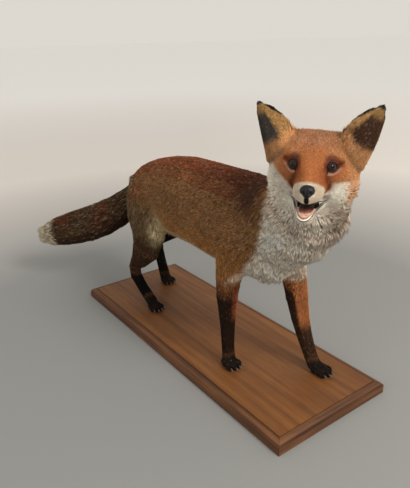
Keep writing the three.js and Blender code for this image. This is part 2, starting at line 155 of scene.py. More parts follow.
def ripple(points, wavelength, seed):
    """A smooth random field between about -1 and 1."""
    waves = np.random.default_rng(seed)
    total = np.zeros(len(points))
    count = 9
    for _ in range(count):
        direction = unit(waves.normal(size=3))
        size = wavelength * waves.uniform(0.7, 1.5)
        total += np.sin(points @ direction * (2 * math.pi / size) + waves.uniform(0, 2 * math.pi))
    return total / math.sqrt(count / 2) / 1.6


def along(points, line):
    """How far along a line each point lies, 0 to 1, its foot on the line and the line's way there."""
    knots = np.array(line, float) * MM
    spans = lengths(np.diff(knots, axis=0))
    starts = np.concatenate([[0], np.cumsum(spans)])
    best = np.full(len(points), np.inf)
    share, foot, way = np.zeros(len(points)), np.zeros_like(points), np.zeros_like(points)
    for n, span in enumerate(spans):
        direction = (knots[n + 1] - knots[n]) / span
        reach = np.clip((points - knots[n]) @ direction, 0, span)
        near = knots[n] + reach[:, None] * direction
        distance = lengths(points - near)
        closer = distance < best
        best[closer] = distance[closer]
        share[closer] = ((starts[n] + reach) / starts[-1])[closer]
        foot[closer] = near[closer]
        way[closer] = direction
    return share, foot, way


# ---- meshes ----
def mesh_from(name, verts, tris, colours=None):
    """A smooth mesh; the colours go into the attribute that the materials read."""
    mesh = bpy.data.meshes.new(name)
    mesh.vertices.add(len(verts))
    mesh.vertices.foreach_set("co", np.asarray(verts, np.float32).ravel())
    mesh.loops.add(3 * len(tris))
    mesh.loops.foreach_set("vertex_index", np.asarray(tris, np.int32).ravel())
    mesh.polygons.add(len(tris))
    mesh.polygons.foreach_set("loop_start", np.arange(0, 3 * len(tris), 3, dtype=np.int32))
    mesh.update(calc_edges=True)
    mesh.validate()
    mesh.polygons.foreach_set("use_smooth", np.ones(len(mesh.polygons), bool))
    if colours is not None:
        rgba = np.ones((len(verts), 4), np.float32)
        rgba[:, :3] = colours
        mesh.attributes.new("coat", "FLOAT_COLOR", "POINT").data.foreach_set("color", rgba.ravel())
    return mesh


def add_piece(name, form, material, slot, *replaced):
    """A piece from its vertices, triangles and colours."""
    mesh = mesh_from(name, *form)
    piece = bpy.data.objects.new(name, mesh)
    bpy.context.scene.collection.objects.link(piece)
    mesh.materials.append(material)
    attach(piece, "root")
    if replaced:
        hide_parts(*replaced)
    return mesh


def arrays_of(mesh):
    """A mesh's vertices and triangles as arrays."""
    mesh.calc_loop_triangles()
    co = np.zeros(len(mesh.vertices) * 3)
    mesh.vertices.foreach_get("co", co)
    tris = np.zeros(len(mesh.loop_triangles) * 3, np.int32)
    mesh.loop_triangles.foreach_get("vertices", tris)
    return co.reshape(-1, 3), tris.reshape(-1, 3)


def edges_of(tris):
    pairs = np.sort(np.concatenate([tris[:, :2], tris[:, 1:], tris[:, ::2]]), axis=1)
    keys = np.unique(pairs[:, 0].astype(np.int64) * (1 << 32) + pairs[:, 1])
    return columns(keys >> 32, keys & 0xFFFFFFFF).astype(np.int64)


def neighbour_mean(values, edges):
    """The mean of each vertex's neighbours, for an array with one row for each vertex."""
    count = len(values)
    first, second = edges.T
    degree = np.maximum(np.bincount(edges.ravel(), minlength=count), 1)
    flat = values.reshape(count, -1)
    mean = np.empty_like(flat)
    for column in range(flat.shape[1]):
        given = flat[:, column]
        total = np.bincount(first, given[second], count) + np.bincount(second, given[first], count)
        mean[:, column] = total / degree
    return mean.reshape(values.shape)


def smoothed(co, edges, rounds, strength):
    """Smooths a surface without shrinking it; `strength` is a number from 0 to 1 for each vertex."""
    weight = np.broadcast_to(strength, len(co))[:, None]
    for factor in (0.5, -0.52) * rounds:
        co = co + factor * weight * (neighbour_mean(co, edges) - co)
    return co


def diffused(values, edges, rounds):
    for _ in range(rounds):
        values = 0.5 * values + 0.5 * neighbour_mean(values, edges)
    return values


def normals_of(co, tris):
    a, b, c = co[tris[:, 0]], co[tris[:, 1]], co[tris[:, 2]]
    face = np.cross(b - a, c - a)
    total = np.zeros_like(co)
    for column in range(3):
        for corner in range(3):
            total[:, column] += np.bincount(tris[:, corner], face[:, column], len(co))
    return unit(total)


def largest_part(co, tris):
    """Leaves only the largest connected part of a surface."""
    edges = edges_of(tris)
    label = np.arange(len(co))
    while True:
        low = np.minimum(label[edges[:, 0]], label[edges[:, 1]])
        new = label.copy()
        np.minimum.at(new, edges[:, 0], low)
        np.minimum.at(new, edges[:, 1], low)
        new = new[new]
        if (new == label).all():
            break
        label = new
    kept = label == np.bincount(label).argmax()
    renumbered = np.cumsum(kept) - 1
    return co[kept], renumbered[tris[kept[tris[:, 0]]]]


# ---- the skin's form ----
def region_of(node):
    """The region of the coat that a node carries, or None where no hair grows."""
    if any(word in node for word in ("claw", "eye", "nose", "tongue", "gum", "base")):
        return None
    if node.startswith(("tail", "ear")):
        return node.split("_")[0]
    return "jaw" if node == "lower_jaw" else node.split("_")[-1]


def line_of(node):
    """The middle line of the part that a node belongs to."""
    if node in ("trunk", "neck"):
        return "body"
    if node in ("head", "lower_jaw"):
        return "head"
    return "tail" if node.startswith("tail") else "_".join(node.split("_")[:2])


FLESH = sorted(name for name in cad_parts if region_of(name))
FLESH_REGIONS = np.array([REGIONS.index(region_of(name)) for name in FLESH])
FLESH_LINES = np.array([line_of(name) for name in FLESH])
FILLERS = ["eye_left", "eye_right", "nose"]  # close the skin under the eyes and the nose


def joined_solids(names, grow):
    """The solids of some nodes as one list of vertices and faces, each grown a little."""
    verts, faces, owners = [], [], []
    for number, name in enumerate(names):
        bm = bmesh.new()
        bm.from_mesh(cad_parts[name].data)
        bmesh.ops.remove_doubles(bm, verts=bm.verts, dist=0.01 * MM)
        bm.normal_update()
        start = len(verts)
        verts += [v.co + v.normal * grow for v in bm.verts]
        faces += [[start + v.index for v in f.verts] for f in bm.faces]
        owners += [number] * len(bm.faces)
        bm.free()
    return verts, faces, np.array(owners)


def remeshed(names, grow):
    """One closed surface round some nodes, as vertices and triangles."""
    verts, faces, _ = joined_solids(names, grow)
    mesh = bpy.data.meshes.new("block")
    mesh.from_pydata(verts, [], faces)
    block = bpy.data.objects.new("block", mesh)
    bpy.context.scene.collection.objects.link(block)
    remesh = block.modifiers.new("remesh", "REMESH")
    remesh.mode = "VOXEL"
    remesh.voxel_size = VOXEL
    evaluated = block.evaluated_get(bpy.context.evaluated_depsgraph_get())
    result = bpy.data.meshes.new_from_object(evaluated)
    surface = arrays_of(result)
    bpy.data.objects.remove(block)
    for used in (mesh, result):
        bpy.data.meshes.remove(used)
    return largest_part(*surface)


def owners_at(co):
    """The number in FLESH of the node nearest to each point."""
    verts, faces, owners = joined_solids(FLESH, 0)
    tree = BVHTree.FromPolygons(verts, faces)
    nearest = [tree.find_nearest(Vector(p))[2] for p in co]
    return owners[nearest]


def split_near(co, tris, chosen):
    """Splits in four each triangle whose corners are all chosen."""
    mesh = mesh_from("split", co, tris)
    bm = bmesh.new()
    bm.from_mesh(mesh)
    bm.verts.ensure_lookup_table()
    edges = [e for e in bm.edges if chosen[e.verts[0].index] and chosen[e.verts[1].index]]
    bmesh.ops.subdivide_edges(bm, edges=edges, cuts=1)
    bmesh.ops.triangulate(bm, faces=bm.faces)
    bm.to_mesh(mesh)
    bm.free()
    result = arrays_of(mesh)
    bpy.data.meshes.remove(mesh)
    return result


EYE_RADIUS = 10.8
EYES = {hand: np.array([-8.7, side * 26.0, -0.7]) for hand, side in SIDES.items()}
OPENING = {"half": 9.9, "upper": 7.2, "lower": 6.2}  # the gap between the lids, in millimetres
GAZE = {hand: unit(np.array([1.0, side * 0.52, 0.04])) for hand, side in SIDES.items()}
LID_SLANT = 0.2  # how much higher the outer corner of the lids is
LID_POWER = 1.7  # the opening's outline lies between a rhombus, 1, and an ellipse, 2


def eye_axes(hand):
    """Rows: across to the outer corner, up, and out along the gaze."""
    out = GAZE[hand]
    across = unit(np.array([-out[1] * SIDES[hand], out[0], 0]) * SIDES[hand] + np.array([0, 0, LID_SLANT]))
    across = unit(across - dot(across, out) * out)
    up = np.cross(out, across) * SIDES[hand]
    return np.array([across, up, out])


def lid_place(local, hand):
    """How far across an eye, up it and out of it points lie; all are the head's millimetres."""
    return ((local - EYES[hand]) @ eye_axes(hand).T).T


def lid_measure(local, hand):
    """0 at the middle of the lids' opening, 1 at its edge."""
    across, up, out = lid_place(local, hand)
    tall = np.where(up > 0, OPENING["upper"], OPENING["lower"])
    measure = (np.abs(across) / OPENING["half"]) ** LID_POWER + (np.abs(up) / tall) ** LID_POWER
    return np.where(out > 0, measure ** (1 / LID_POWER), 9.0)


LID_THICKNESS = 1.8  # over the eyeball, in millimetres, as are the next two
FOLD_DEPTH = 0.7
OPENING_DEPTH = 2.2  # how far under the eyeball's surface the skin lies within the opening


def shape_lids(local):
    """Wraps the skin round each eyeball, with an opening for it and a fold round the opening."""
    shaped = local.copy()
    for hand in SIDES:
        measure = lid_measure(shaped, hand)
        ray = shaped - EYES[hand]
        radius = lengths(ray)
        opened = 1 - ease(measure, 0.82, 1.06)
        lid = ease(measure, 0.9, 1.1) * (1 - ease(measure, 1.3, 2.1))
        fold = np.exp(-(((measure - 1.65) / 0.18) ** 2))
        wanted = np.maximum(radius, EYE_RADIUS + LID_THICKNESS)
        new = radius * (1 - lid) + wanted * lid - FOLD_DEPTH * fold
        new = new * (1 - opened) + (EYE_RADIUS - OPENING_DEPTH) * opened
        near = (measure < 2.4)[:, None]
        shaped = np.where(near, EYES[hand] + ray / radius[:, None] * new[:, None], shaped)
    return shaped


SKIN_GROWTH = 0.35 * MM  # closes the cuts between the solids
SMOOTHING = 26  # rounds over the whole skin
FACE_SMOOTHING = 8
REGION_EDGE = 14  # rounds that blend one region's coat into the next one's
GENTLE = {"ear": 0.15, "paw": 0.5, "jaw": 0.6, "head": 0.8}  # smoothing's strength where it isn't 1
# Boxes round the face, as lowest and highest corners in the head's millimetres: each splits the skin again.
FINER = [((-35, -50, -84), (np.inf, 50, 24)), ((-22, -40, -82), (np.inf, 40, 14))]


def build_skin_form():
    """The flesh as one smooth surface out to the tips of the coat, finer on the head."""
    co, tris = remeshed(FLESH + FILLERS, SKIN_GROWTH)
    strength = np.array([GENTLE.get(r, 1.0) for r in REGIONS])[FLESH_REGIONS[owners_at(co)]]
    edges = edges_of(tris)
    co = smoothed(co, edges, SMOOTHING, diffused(strength, edges, 3))
    for low, high in FINER:
        local = to_head(co)
        co, tris = split_near(co, tris, ((local > low) & (local < high)).all(axis=1))
    edges = edges_of(tris)
    local = to_head(co)
    fine = ease(local[:, 0], -80, -60) * ease(local[:, 2], -110, -80)
    return smoothed(co, edges, FACE_SMOOTHING, fine * 0.9), tris, edges


# ---- regions, coat and lie of the hair ----
class Skin:
    """The skin's surface and, for each of its vertices, what grows there."""

    def change(self, mask, **amounts):
        """Adds to what grows at the masked places."""
        for style, amount in amounts.items():
            setattr(self, style, getattr(self, style) + amount * mask)


def measure_skin():
    """The skin with all that grows on it, sunk in by the depth of the coat."""
    skin = Skin()
    co, skin.tris, skin.edges = build_skin_form()
    skin.owner = owners_at(co)
    share = diffused(np.eye(len(REGIONS))[FLESH_REGIONS[skin.owner]], skin.edges, REGION_EDGE)
    co = skin.outer = round_ear_tips(co, share[:, REGIONS.index("ear")])
    skin.normal = normals_of(co, skin.tris)
    skin.share = dict(zip(REGIONS, share.T))
    styles = share @ np.array([COAT[r] for r in REGIONS])
    for style, values in zip(STYLES, styles.T):
        setattr(skin, style, values)
    skin.local = to_head(co)
    style_chest(skin)
    style_head(skin)
    style_ears(skin)
    skin.flow = lie_of_hair(skin)
    moved = from_head(shape_lids(skin.local)) - co
    skin.co = co + moved - skin.normal * skin.depth[:, None] * MM
    skin.normal = normals_of(skin.co, skin.tris)
    skin.local = to_head(skin.co)
    return skin


def ear_place(local, hand):
    """How far up an ear points lie, 0 to 1, and how far across its opening, -1 inner to 1 outer."""
    inner = np.array([-46, SIDES[hand] * 30, 42.0])
    outer = np.array([-56, SIDES[hand] * 79, -8.0])
    base = (inner + outer) / 2
    axis = EAR_LINE[hand][1] - base
    up = (local - base) @ axis / (axis @ axis)
    level = np.clip(up, 0, 0.97)[:, None]
    middle = base + axis * level
    half = (outer - inner) / 2 * (1 - level) + unit(outer - inner) * 5
    half = half * (1 + 0.45 * (4 * level * (1 - level)))
    return up, dot(local - middle, half) / dot(half, half)


EAR_CORNER = 9.0  # how far the corners of an ear's tip are lowered, in millimetres


def round_ear_tips(co, ears):
    """Lowers the two corners of each ear's tip, so that the tip is round."""
    local = to_head(co)
    for hand, side in SIDES.items():
        up, _ = ear_place(local, hand)
        mine = ease(ears, 0.3, 0.7) * (local[:, 1] * side > 0)
        axis = unit(np.array([8.0, side * 42, 76]))
        way = np.array([-10.0, side * 49, -50])
        way = unit(way - dot(way, axis) * axis)
        middle = dot(local, way)
        tip = (up > 0.86) & (mine > 0.5)
        low, high = middle[tip].min(), middle[tip].max()
        from_middle = np.clip(2 * (middle - low) / (high - low) - 1, -1, 1)
        drop = EAR_CORNER * from_middle**2 * ease(up, 0.82, 1.0) * mine
        local = local - drop[:, None] * axis
    return from_head(local)


def bib_mask(skin):
    """1 on the pale front of the neck and breast, behind a line that curves down from the cheek."""
    x, _, z = (skin.outer / MM).T
    edge = 282 - 0.0026 * np.minimum(455 - z, 260) ** 2
    bib = ease(x - edge, -8, 12) * ease(z, 228, 250)
    rearward, _, upward = (skin.normal * (-1, 1, 1)).T
    bib *= 1 - ease(0.8 * upward + 0.6 * rearward, 0.1, 0.5)
    bib *= 1 - ease(rearward, -0.15, 0.15) * ease(skin.outer[:, 1], 0.01, 0.04)
    return bib * (skin.share["neck"] + skin.share["trunk"] + 0.6 * skin.share["upper"])


def style_chest(skin):
    """The breast's coat is as long and loose as the neck's, and the nape's is plainer."""
    bib = bib_mask(skin) * skin.share["trunk"]
    nape = (1 - ease(skin.outer[:, 0], 0.20, 0.26)) * skin.share["neck"]
    for style, trunk, neck in zip(STYLES, COAT["trunk"], COAT["neck"]):
        skin.change(bib - 0.7 * nape, **{style: neck - trunk})


def style_head(skin):
    """The head's coat is short on the muzzle and round the eyes, and long on the cheeks."""
    x, y, z = skin.local.T
    head = skin.share["head"] + skin.share["jaw"]
    cheek = ease(np.abs(y), 40, 62) * ease(-z, 5, 40) * ease(-x, 5, 35) * head
    ruff = ease(-x, 30, 70) * ease(-z, 20, 60) * head
    throat = ease(-z, 72, 86) * ease(-x, -28, 0) * head
    long = np.clip(cheek + ruff + throat, 0, 1)
    crown = ease(z, 10, 40) * ease(-x, 5, 40) * skin.share["head"]
    face = ease(x, -12, 12) * head * ease(z, -60, -50)
    skin.change(long, depth=6, length=12, width=0.45, spacing=1.5, lean=0.45, stand=0.2)
    skin.change(crown, depth=1.2, length=3, spacing=0.3)
    skin.change(face, depth=-1, length=-2, width=-0.15, spacing=-0.25)
    skin.depth = np.maximum(skin.depth, 0.5)


def style_ears(skin):
    """Long hair along the inner edge of each ear's hollow, and a fluffy tuft at its foot."""
    for hand, side in SIDES.items():
        up, across = ear_place(skin.local, hand)
        mine = skin.share["ear"] * (skin.local[:, 1] * side > 0)
        margin = ease(-across, 0.1, 0.5) * (1 - ease(-across, 0.8, 0.95))
        hair = mine * ear_inside(skin, hand) * margin * (1 - ease(up, 0.5, 0.95))
        foot = blob(skin.local, (-42, side * 38, 46), 12) * (skin.share["head"] + mine)
        skin.change(hair, depth=0.8, length=7, lean=0.3, stand=0.2)
        skin.change(foot, depth=1.5, length=9, lean=0.3, stand=0.5)


def lie_of_hair(skin):
    """The way the hair lies at each vertex, along the surface."""
    points, normal = skin.outer, skin.normal

    def way(*parts):
        return columns(*(np.broadcast_to(part, len(points)) for part in parts))

    aside = np.abs(normal[:, 1])
    front = ease(normal[:, 0] - 0.4 * normal[:, 2], 0.1, 0.7)[:, None]
    down = way(-0.15, 0, -1) * front
    ways = {
        "trunk": way(-1, 0, -0.12 - 0.45 * aside) * (1 - front) + down,
        "neck": way(-0.85, 0.1, -0.5 - 0.3 * aside) * (1 - front) + down,
        "head": points - from_head([60, 0, -26]),
        "upper": way(-0.25, 0, -1),
        "thigh": way(-0.35, 0, -1),
        "paw": way(1, 0.08, -0.35),
        "tail": along(points, LINES["tail"])[2],
    }
    ways["jaw"] = ways["head"]
    left, right = (along(points, LINES["ear_" + hand])[2] for hand in ("left", "right"))
    ways["ear"] = np.where(skin.local[:, 1:2] > 0, left, right)
    legs = np.tile([0.0, 0, -1], (len(points), 1))
    for leg in (line for line in LINES if "leg" in line):
        mine = FLESH_LINES[skin.owner] == leg
        legs[mine] = along(points[mine], LINES[leg])[2]
    ways["lower"] = ways["shank"] = ways["hock"] = legs
    total = sum(unit(ways[region]) * skin.share[region][:, None] for region in REGIONS)
    flow = diffused(total, skin.edges, 10)
    return unit(flow - dot(flow, normal)[:, None] * normal)


# ---- markings ----
RUSSET = rgb(150, 82, 50)
WITHERS = rgb(104, 58, 38)
FLANK = rgb(154, 108, 64)
OCHRE = rgb(174, 119, 64)
OLIVE = rgb(140, 110, 74)
CREAM = rgb(214, 200, 172)
WHITE = rgb(244, 233, 216)
GREY = rgb(104, 96, 88)
ORANGE = rgb(205, 128, 74)
SALMON = rgb(200, 134, 92)
DEEP = rgb(150, 76, 44)
BLACK = rgb(38, 29, 25)
SOOT = rgb(24, 18, 16)
BROWN = rgb(88, 58, 42)
TAIL_BROWN = rgb(108, 80, 54)
TAWNY = rgb(196, 150, 92)
TAN = rgb(212, 152, 100)
TEAR = rgb(112, 56, 29)
DUN = rgb(150, 132, 116)
BEIGE = rgb(234, 217, 194)
# pale pink of the lower lid, partly painted highlight
LID_PINK_AND_HIGHLIGHT = rgb(212, 164, 138)
REDDISH = rgb(136, 82, 66)


class Markings:
    """Colours that are painted over one another, each through a mask."""

    def __init__(self, count, main):
        self.main = np.tile(main, (count, 1)).astype(float)
        self.under = self.main * 0.5
        self.dark = np.zeros(count)
        self.pale = np.zeros(count)

    def lay(self, mask, main, under=0.5, dark=0.0, pale=0.0):
        mask = np.clip(mask, 0, 1)
        sunk = main * under if np.isscalar(under) else under
        self.main += mask[:, None] * (main - self.main)
        self.under += mask[:, None] * (sunk - self.under)
        self.dark += mask * (dark - self.dark)
        self.pale += mask * (pale - self.pale)


def mark_body(marks, skin):
    lay, part = marks.lay, skin.share
    points = skin.outer / MM
    x, y, z = points.T
    folded = columns(x, np.abs(y), z)
    up = skin.normal[:, 2]
    trunk = part["trunk"] + part["neck"]
    body = trunk + part["thigh"] + part["upper"]
    lay(body, FLANK, 0.5, 0.28, 0.25)
    lay(body * ease(z, 350, 290), OCHRE * 0.95, 0.5, 0.22, 0.2)
    top = ease(up, 0.3, 0.95) * trunk
    lay(top, RUSSET, 0.45, 0.35, 0.12)
    lay(top * ease(x, -20, 150), WITHERS, 0.45, 0.35, 0.05)
    # dark brown at the shoulders behind the head: partly the coat's own darker patch, partly painted shade
    # behind the head
    shoulder_mark_and_shade = blob(folded, (222, 55, 432), (40, 40, 34)) * 1.3
    lay(shoulder_mark_and_shade * trunk, BROWN * 1.05, 0.5, 0.35, 0.05)
    lay(ease(-up, 0.45, 0.85) * part["trunk"], CREAM * 0.8, GREY * 0.8, 0.1, 0.2)
    bib = bib_mask(skin)
    lay(bib, WHITE, 0.75, 0.06, 0.2)
    lay(bib * blob(points, (385, -10, 400), (34, 34, 46)) * 0.8, DUN * 0.9, 0.65, 0.15, 0.15)
    # grey on the right of the breast: partly its darker hair, partly painted shade on that dimmer side
    lay(bib * blob(points, (350, -64, 400), (26, 26, 18)) * 0.7, GREY * 0.9, 0.65, 0.15, 0.1)


def mark_legs(marks, skin):
    lay, part = marks.lay, skin.share
    x, y, z = (skin.outer / MM).T
    folded = columns(x, np.abs(y), z)
    right = y < 0
    thigh, shank, hock = part["thigh"], part["shank"], part["hock"]
    lay(thigh, OLIVE * 0.66, 0.5, 0.3, 0.15)
    lay(thigh * ease(z, 255, 215), BROWN * 0.95, 0.5, 0.25, 0.08)
    lay(blob(folded, (-122, 72, 264), (20, 34, 40)) * 1.25, rgb(198, 180, 139), 0.6, 0.05, 0.2)
    lay(blob(folded, (-205, 90, 352), (26, 30, 22)) * 0.7, DEEP * 1.1, 0.5, 0.25, 0.2)
    lay(shank, BROWN * 0.85, 0.5, 0.3, 0.06)
    heel = blob(folded, (-262, 72, 128), (16, 22, 15))
    lay(heel * (shank + hock), OLIVE * 0.62, 0.5, 0.2, 0.12)
    lay(hock * ease(135 - z, 0, 22), BLACK * 0.35, 0.5, 0.1)
    lay((y > 0) * (shank + hock) * ease(235 - z, 0, 30), BLACK * 0.6, 0.5, 0.1, 0.01)
    fore = part["upper"] + part["lower"]
    # the forelegs' orange; on the right foreleg it is painted much darker, partly its browner coat, partly
    # painted shade of the fox's dimmer right side
    orange_with_right_shade = ORANGE * np.where(right, 0.38, 0.92)[:, None]
    lay(fore * ease(z, 250, 225), orange_with_right_shade, 0.5, 0.25, 0.12)
    black = np.where(right[:, None], rgb(50, 32, 23), BROWN * 0.7)
    black_below = np.where(right, 200, 128)
    lay(fore * ease(black_below - z, -22, 8), black, 0.5, 0.1, np.where(right, 0.01, 0.06))
    # how far the surface faces the camera's right, the side the light comes from
    facing = skin.normal[:, 0] * 0.576 + skin.normal[:, 1] * 0.818
    # painted light: the right foreleg's side turned to the light is laid a lighter reddish brown, partly the
    # leg's own reddish brown
    painted_lit_edge = ease(facing, 0.35, 0.75) * ease(z, 130, 165) * right
    lay(fore * painted_lit_edge * ease(230 - z, 0, 20), DEEP * 1.2, 0.5, 0.2, 0.15)
    # painted shade: the left foreleg's side turned away from the light is laid dark brown
    painted_shaded_edge = ease(-facing, 0.15, 0.6) * ~right
    lay(fore * painted_shaded_edge * ease(240 - z, 0, 30), BROWN * 0.5, 0.5, 0.2, 0.03)
    lay(part["paw"], BLACK, 0.5, 0.1, 0.02)


def mark_tail(marks, skin):
    share, _, _ = along(skin.outer, LINES["tail"])
    lay, tail = marks.lay, skin.share["tail"]
    # the tail's underside, which is painted darker as shade
    low = ease(-skin.normal[:, 2], -0.1, 0.7)
    lay(tail, TAIL_BROWN * 0.6, 0.45, 0.35, 0.08)
    patches = ease(ripple(skin.outer, 0.11, 5), 0.2, 0.9) * (1 - low)
    lay(tail * patches * 0.5, DEEP * 0.45, 0.45, 0.3, 0.08)
    # painted shade: the underside of the tail is laid darker brown
    lay(tail * low, BROWN * 0.55, 0.5, 0.4, 0.05)
    lay(tail * ease(share, 0.86, 0.93), CREAM * 0.9, 0.7, 0.05, 0.3)


def mark_head(marks, skin):
    lay = marks.lay
    x, y, z = skin.local.T
    aside = np.abs(y)
    folded = columns(x, aside, z)
    head = skin.share["head"] + skin.share["jaw"]

    def spot(centre, radius, strength, *tone):
        lay(head * blob(folded, centre, radius) * strength, *tone)

    lay(head, ORANGE * 0.88, 0.85, 0.05, 0.18)
    lay(head * ease(z, 14, 34), SALMON * 0.92, 0.8, 0.06, 0.4)
    lay(head * ease(aside, 44, 60) * ease(-x, 5, 30), TAN, 0.75, 0.1, 0.3)
    spot((20, 14, -14), (20, 12, 12), 0.8, DEEP * 1.25, 0.8, 0.05, 0.05)
    spot((-11, 34, 18), (13, 15, 8), 0.8, TAN, 0.85, 0.05, 0.3)
    spot((12, 24, -17), (13, 9, 10), 1, TEAR, 0.85)
    spot((38, 0, -12), (22, 7, 9), 0.8, ORANGE, 0.85, 0.05, 0.2)
    cheek_line = -24 - np.where(y < 0, 0.9, 0.1) * (np.clip(x, -45, 10) + 10)
    cheek = ease(cheek_line - z, -3.5, 4.5) * (1 - ease(x, 4, 12)) * ease(x, -84, -62)
    tan_side = (y > 0) * ease(aside, 48, 60) * ease(z, -78, -56)
    below_mouth = ease(-z, 44, 54) * ease(x, -84, -62)
    lay(head * np.maximum(cheek, below_mouth) * (1 - 0.9 * tan_side), WHITE, 0.82, 0.02, 0.05)
    muzzle_line = -19 - 0.45 * (51 - x)
    muzzle = ease(muzzle_line - z, -4.0, 3.0) * ease(x, 14, 22)
    lay(head * np.maximum(muzzle, ease(x, 49, 59)), BEIGE, 0.85, 0.0, 0.05)
    spot((8, 30, -30), (11, 9, 10), 1.3, TEAR * 0.9, 0.85)
    # dark spots at the corners of the mouth: partly the black lips, partly painted shade in the corners
    spot((-3, 28, -49), (6, 6, 4.5), 1.2, SOOT * 3, 0.8)
    # painted light: the left temple by the ear is laid a lighter tan, over the shade of the crease between
    # ear and head
    lay(blob(folded, (-24, 55, 13), 12) * (y > 0), TAN * 1.4, 0.85, 0.0, 0.2)
    lay(head * ease(-z, 64, 76) * ease(x, -90, -66), WHITE * 0.85, 0.7, 0.1, 0.15)
    # painted shade: dun grey under the left side of the jaw
    lay(head * ease(y, 14, 40) * ease(-z, 58, 80) * 0.85, DUN, 0.7, 0.1, 0.15)
    for hand in SIDES:
        mark_lids(lay, skin.local, hand, head)


def mark_lids(lay, local, hand, head):
    """The dark ring round an eye, its reddish upper edge, its pale pink lower edge that is partly a painted
    highlight, and its two drawn-out corners.
    """
    measure = lid_measure(local, hand)
    across, up, out = lid_place(local, hand)
    ring = 1 - ease(measure, 1.5, 2.6)
    lay(ring, DEEP * 0.8, 0.8)
    lay(ring * ease(up, 4, 8) * ease(12 - np.abs(across), 0, 5), REDDISH, 0.8)
    below = ease(measure, 1.4, 1.6) * (1 - ease(measure, 1.9, 2.2)) * ease(-up, 3, 6)
    # the pale pink lower lid: partly the lid's own pink, partly painted highlight
    lay(below * 0.8, LID_PINK_AND_HIGHLIGHT, 0.85)
    flat = columns(across, up)
    outer = segment_distance(flat, (9, 0.5), (20, 1.5))
    lay(0.6 * (1 - ease(outer, 0.5, 5.0)) * (out > -12) * head, TEAR * 0.6, 0.8)
    inner = segment_distance(flat, (-9, -1.5), (-14, -6))
    lay((1 - ease(inner, 0.8, 4.0)) * (out > 0) * head, TEAR * 0.3, 0.8)
    lay(1 - ease(measure, 1.15, 1.5), SOOT, 0.8)


def mark_mouth(marks, skin):
    """Dark lips round the opening, and within them the mouth painted dark as shade."""
    lay, local = marks.lay, skin.local
    room = lengths((local - (13, 0, -58)) / (36, 17, 10.5))
    near = (skin.share["head"] + skin.share["jaw"]) > 0.3
    # the black lips, and within them the mouth laid black as painted shade
    lay((1 - ease(room, 1.08, 1.16)) * near, SOOT, 0.8)
    skin.mouth = (room < 1.14) & near
    for side in SIDES.values():
        crease = segment_distance(local, (-14, side * 43, -46), (4, side * 23, -57))
        lay((1 - ease(crease, 1.4, 3.2)) * near, SOOT * 1.2, 0.8)
    philtrum = segment_distance(local, (62, 0, -40), (60, 0, -51))
    wide = 1.8 + 0.12 * (local[:, 2] + 50)
    lay((1 - ease(philtrum - wide, 0, 2.0)) * near, SOOT, 0.8)


def ear_inside(skin, hand):
    """1 on the hollow side of an ear, 0 on its back."""
    normal = skin.normal @ HEAD_AXES
    return ease(normal[:, 0] + 0.15 * normal[:, 1] * SIDES[hand], 0.0, 0.45)


# For each ear: the hollow's tone, how light its hair is, and where the hair's inner edge begins.
# the two ears differ by painted light and shade: the right ear's hollow and hair are laid lighter than the
# left's
EAR_TONES = {"right": (GREY * 0.5, 0.42, 0.2), "left": (BROWN * 0.6, 0.26, 0.42)}


def mark_ears(marks, skin):
    """Black backs and rims, a dark hollow, and tawny hair along its edges and at its foot."""
    lay = marks.lay
    for hand, side in SIDES.items():
        up, across = ear_place(skin.local, hand)
        mine = skin.share["ear"] * (skin.local[:, 1] * side > 0)
        facing = ear_inside(skin, hand)
        inside = mine * facing
        lay(mine, BLACK, 0.6, 0.1, 0.05)
        lay(mine * (1 - facing) * ease(0.32 - up, 0, 0.2), DEEP, 0.5, 0.2, 0.2)
        # each ear's tones, which differ by painted light and shade
        hollow, shade, edge = EAR_TONES[hand]
        lay(inside, hollow, 0.75, 0.15, 0.05)
        margin = ease(-across, edge, edge + 0.2) * (1 - ease(-across, 0.76, 0.86))
        lay(inside * margin, TAWNY * (0.5 + shade), 0.75, 0.06, 0.2)
        tip = ease(up, 0.7, 0.85) * (1 - ease(np.abs(across), 0.4, 0.75))
        lay(inside * tip, TAWNY * (0.35 + shade), 0.75, 0.1, 0.2)
        outer = ease(across, 0.5, 0.7) * (1 - ease(up, 0.4, 0.75))
        lay(inside * outer, TAWNY * 0.5, 0.7, 0.15, 0.2)
        rim = np.maximum(ease(np.abs(across), 0.74, 0.84), ease(up, 0.9, 0.95))
        lay(mine * rim * ease(up, 0.2, 0.4), BLACK * 0.8, 0.7)
        sunlit = 0.72 + 0.5 * ease(-across, -0.1, 0.5)
        lay(mine * ease(0.24 - up, -0.06, 0.08), TAN * sunlit[:, None], 0.75, 0.1, 0.25)


def mark_skin(skin):
    marks = Markings(len(skin.co), FLANK)
    for mark in (mark_body, mark_legs, mark_tail, mark_head, mark_mouth, mark_ears):
        mark(marks, skin)
    patchy = 1 + 0.10 * ripple(skin.outer, 0.06, 1) + 0.06 * ripple(skin.outer, 0.018, 2)
    marks.main *= patchy[:, None]
    marks.under *= patchy[:, None]
    return marks


# ---- the coat ----
# A tuft is a spindle: its root, a ring of three points where it is widest, and its tip.
RING_AT = 0.42  # how far along the tuft its ring is
RING_RISE = 0.82  # how high the ring is, as a share of the coat's height there
ROOT_DEPTH = 0.1 * MM
RING_SHAPE = ((-0.5, 0.0), (0.5, 0.0), (0.0, 0.42))  # across and up, in widths
TUFT_TRIS = np.array([t for k, m in ((1, 2), (2, 3), (3, 1)) for t in ((k, m, 4), (0, m, k))])
TUFT_PLACES = np.array([(0.5, 0), (0, 0.5), (1, 0.5), (0.5, 0.5), (0.5, 1)])  # on a tuft's bake patch
BAKE_PATCH = 0.003
LOCK_TUFTS = 14  # tufts to one lock
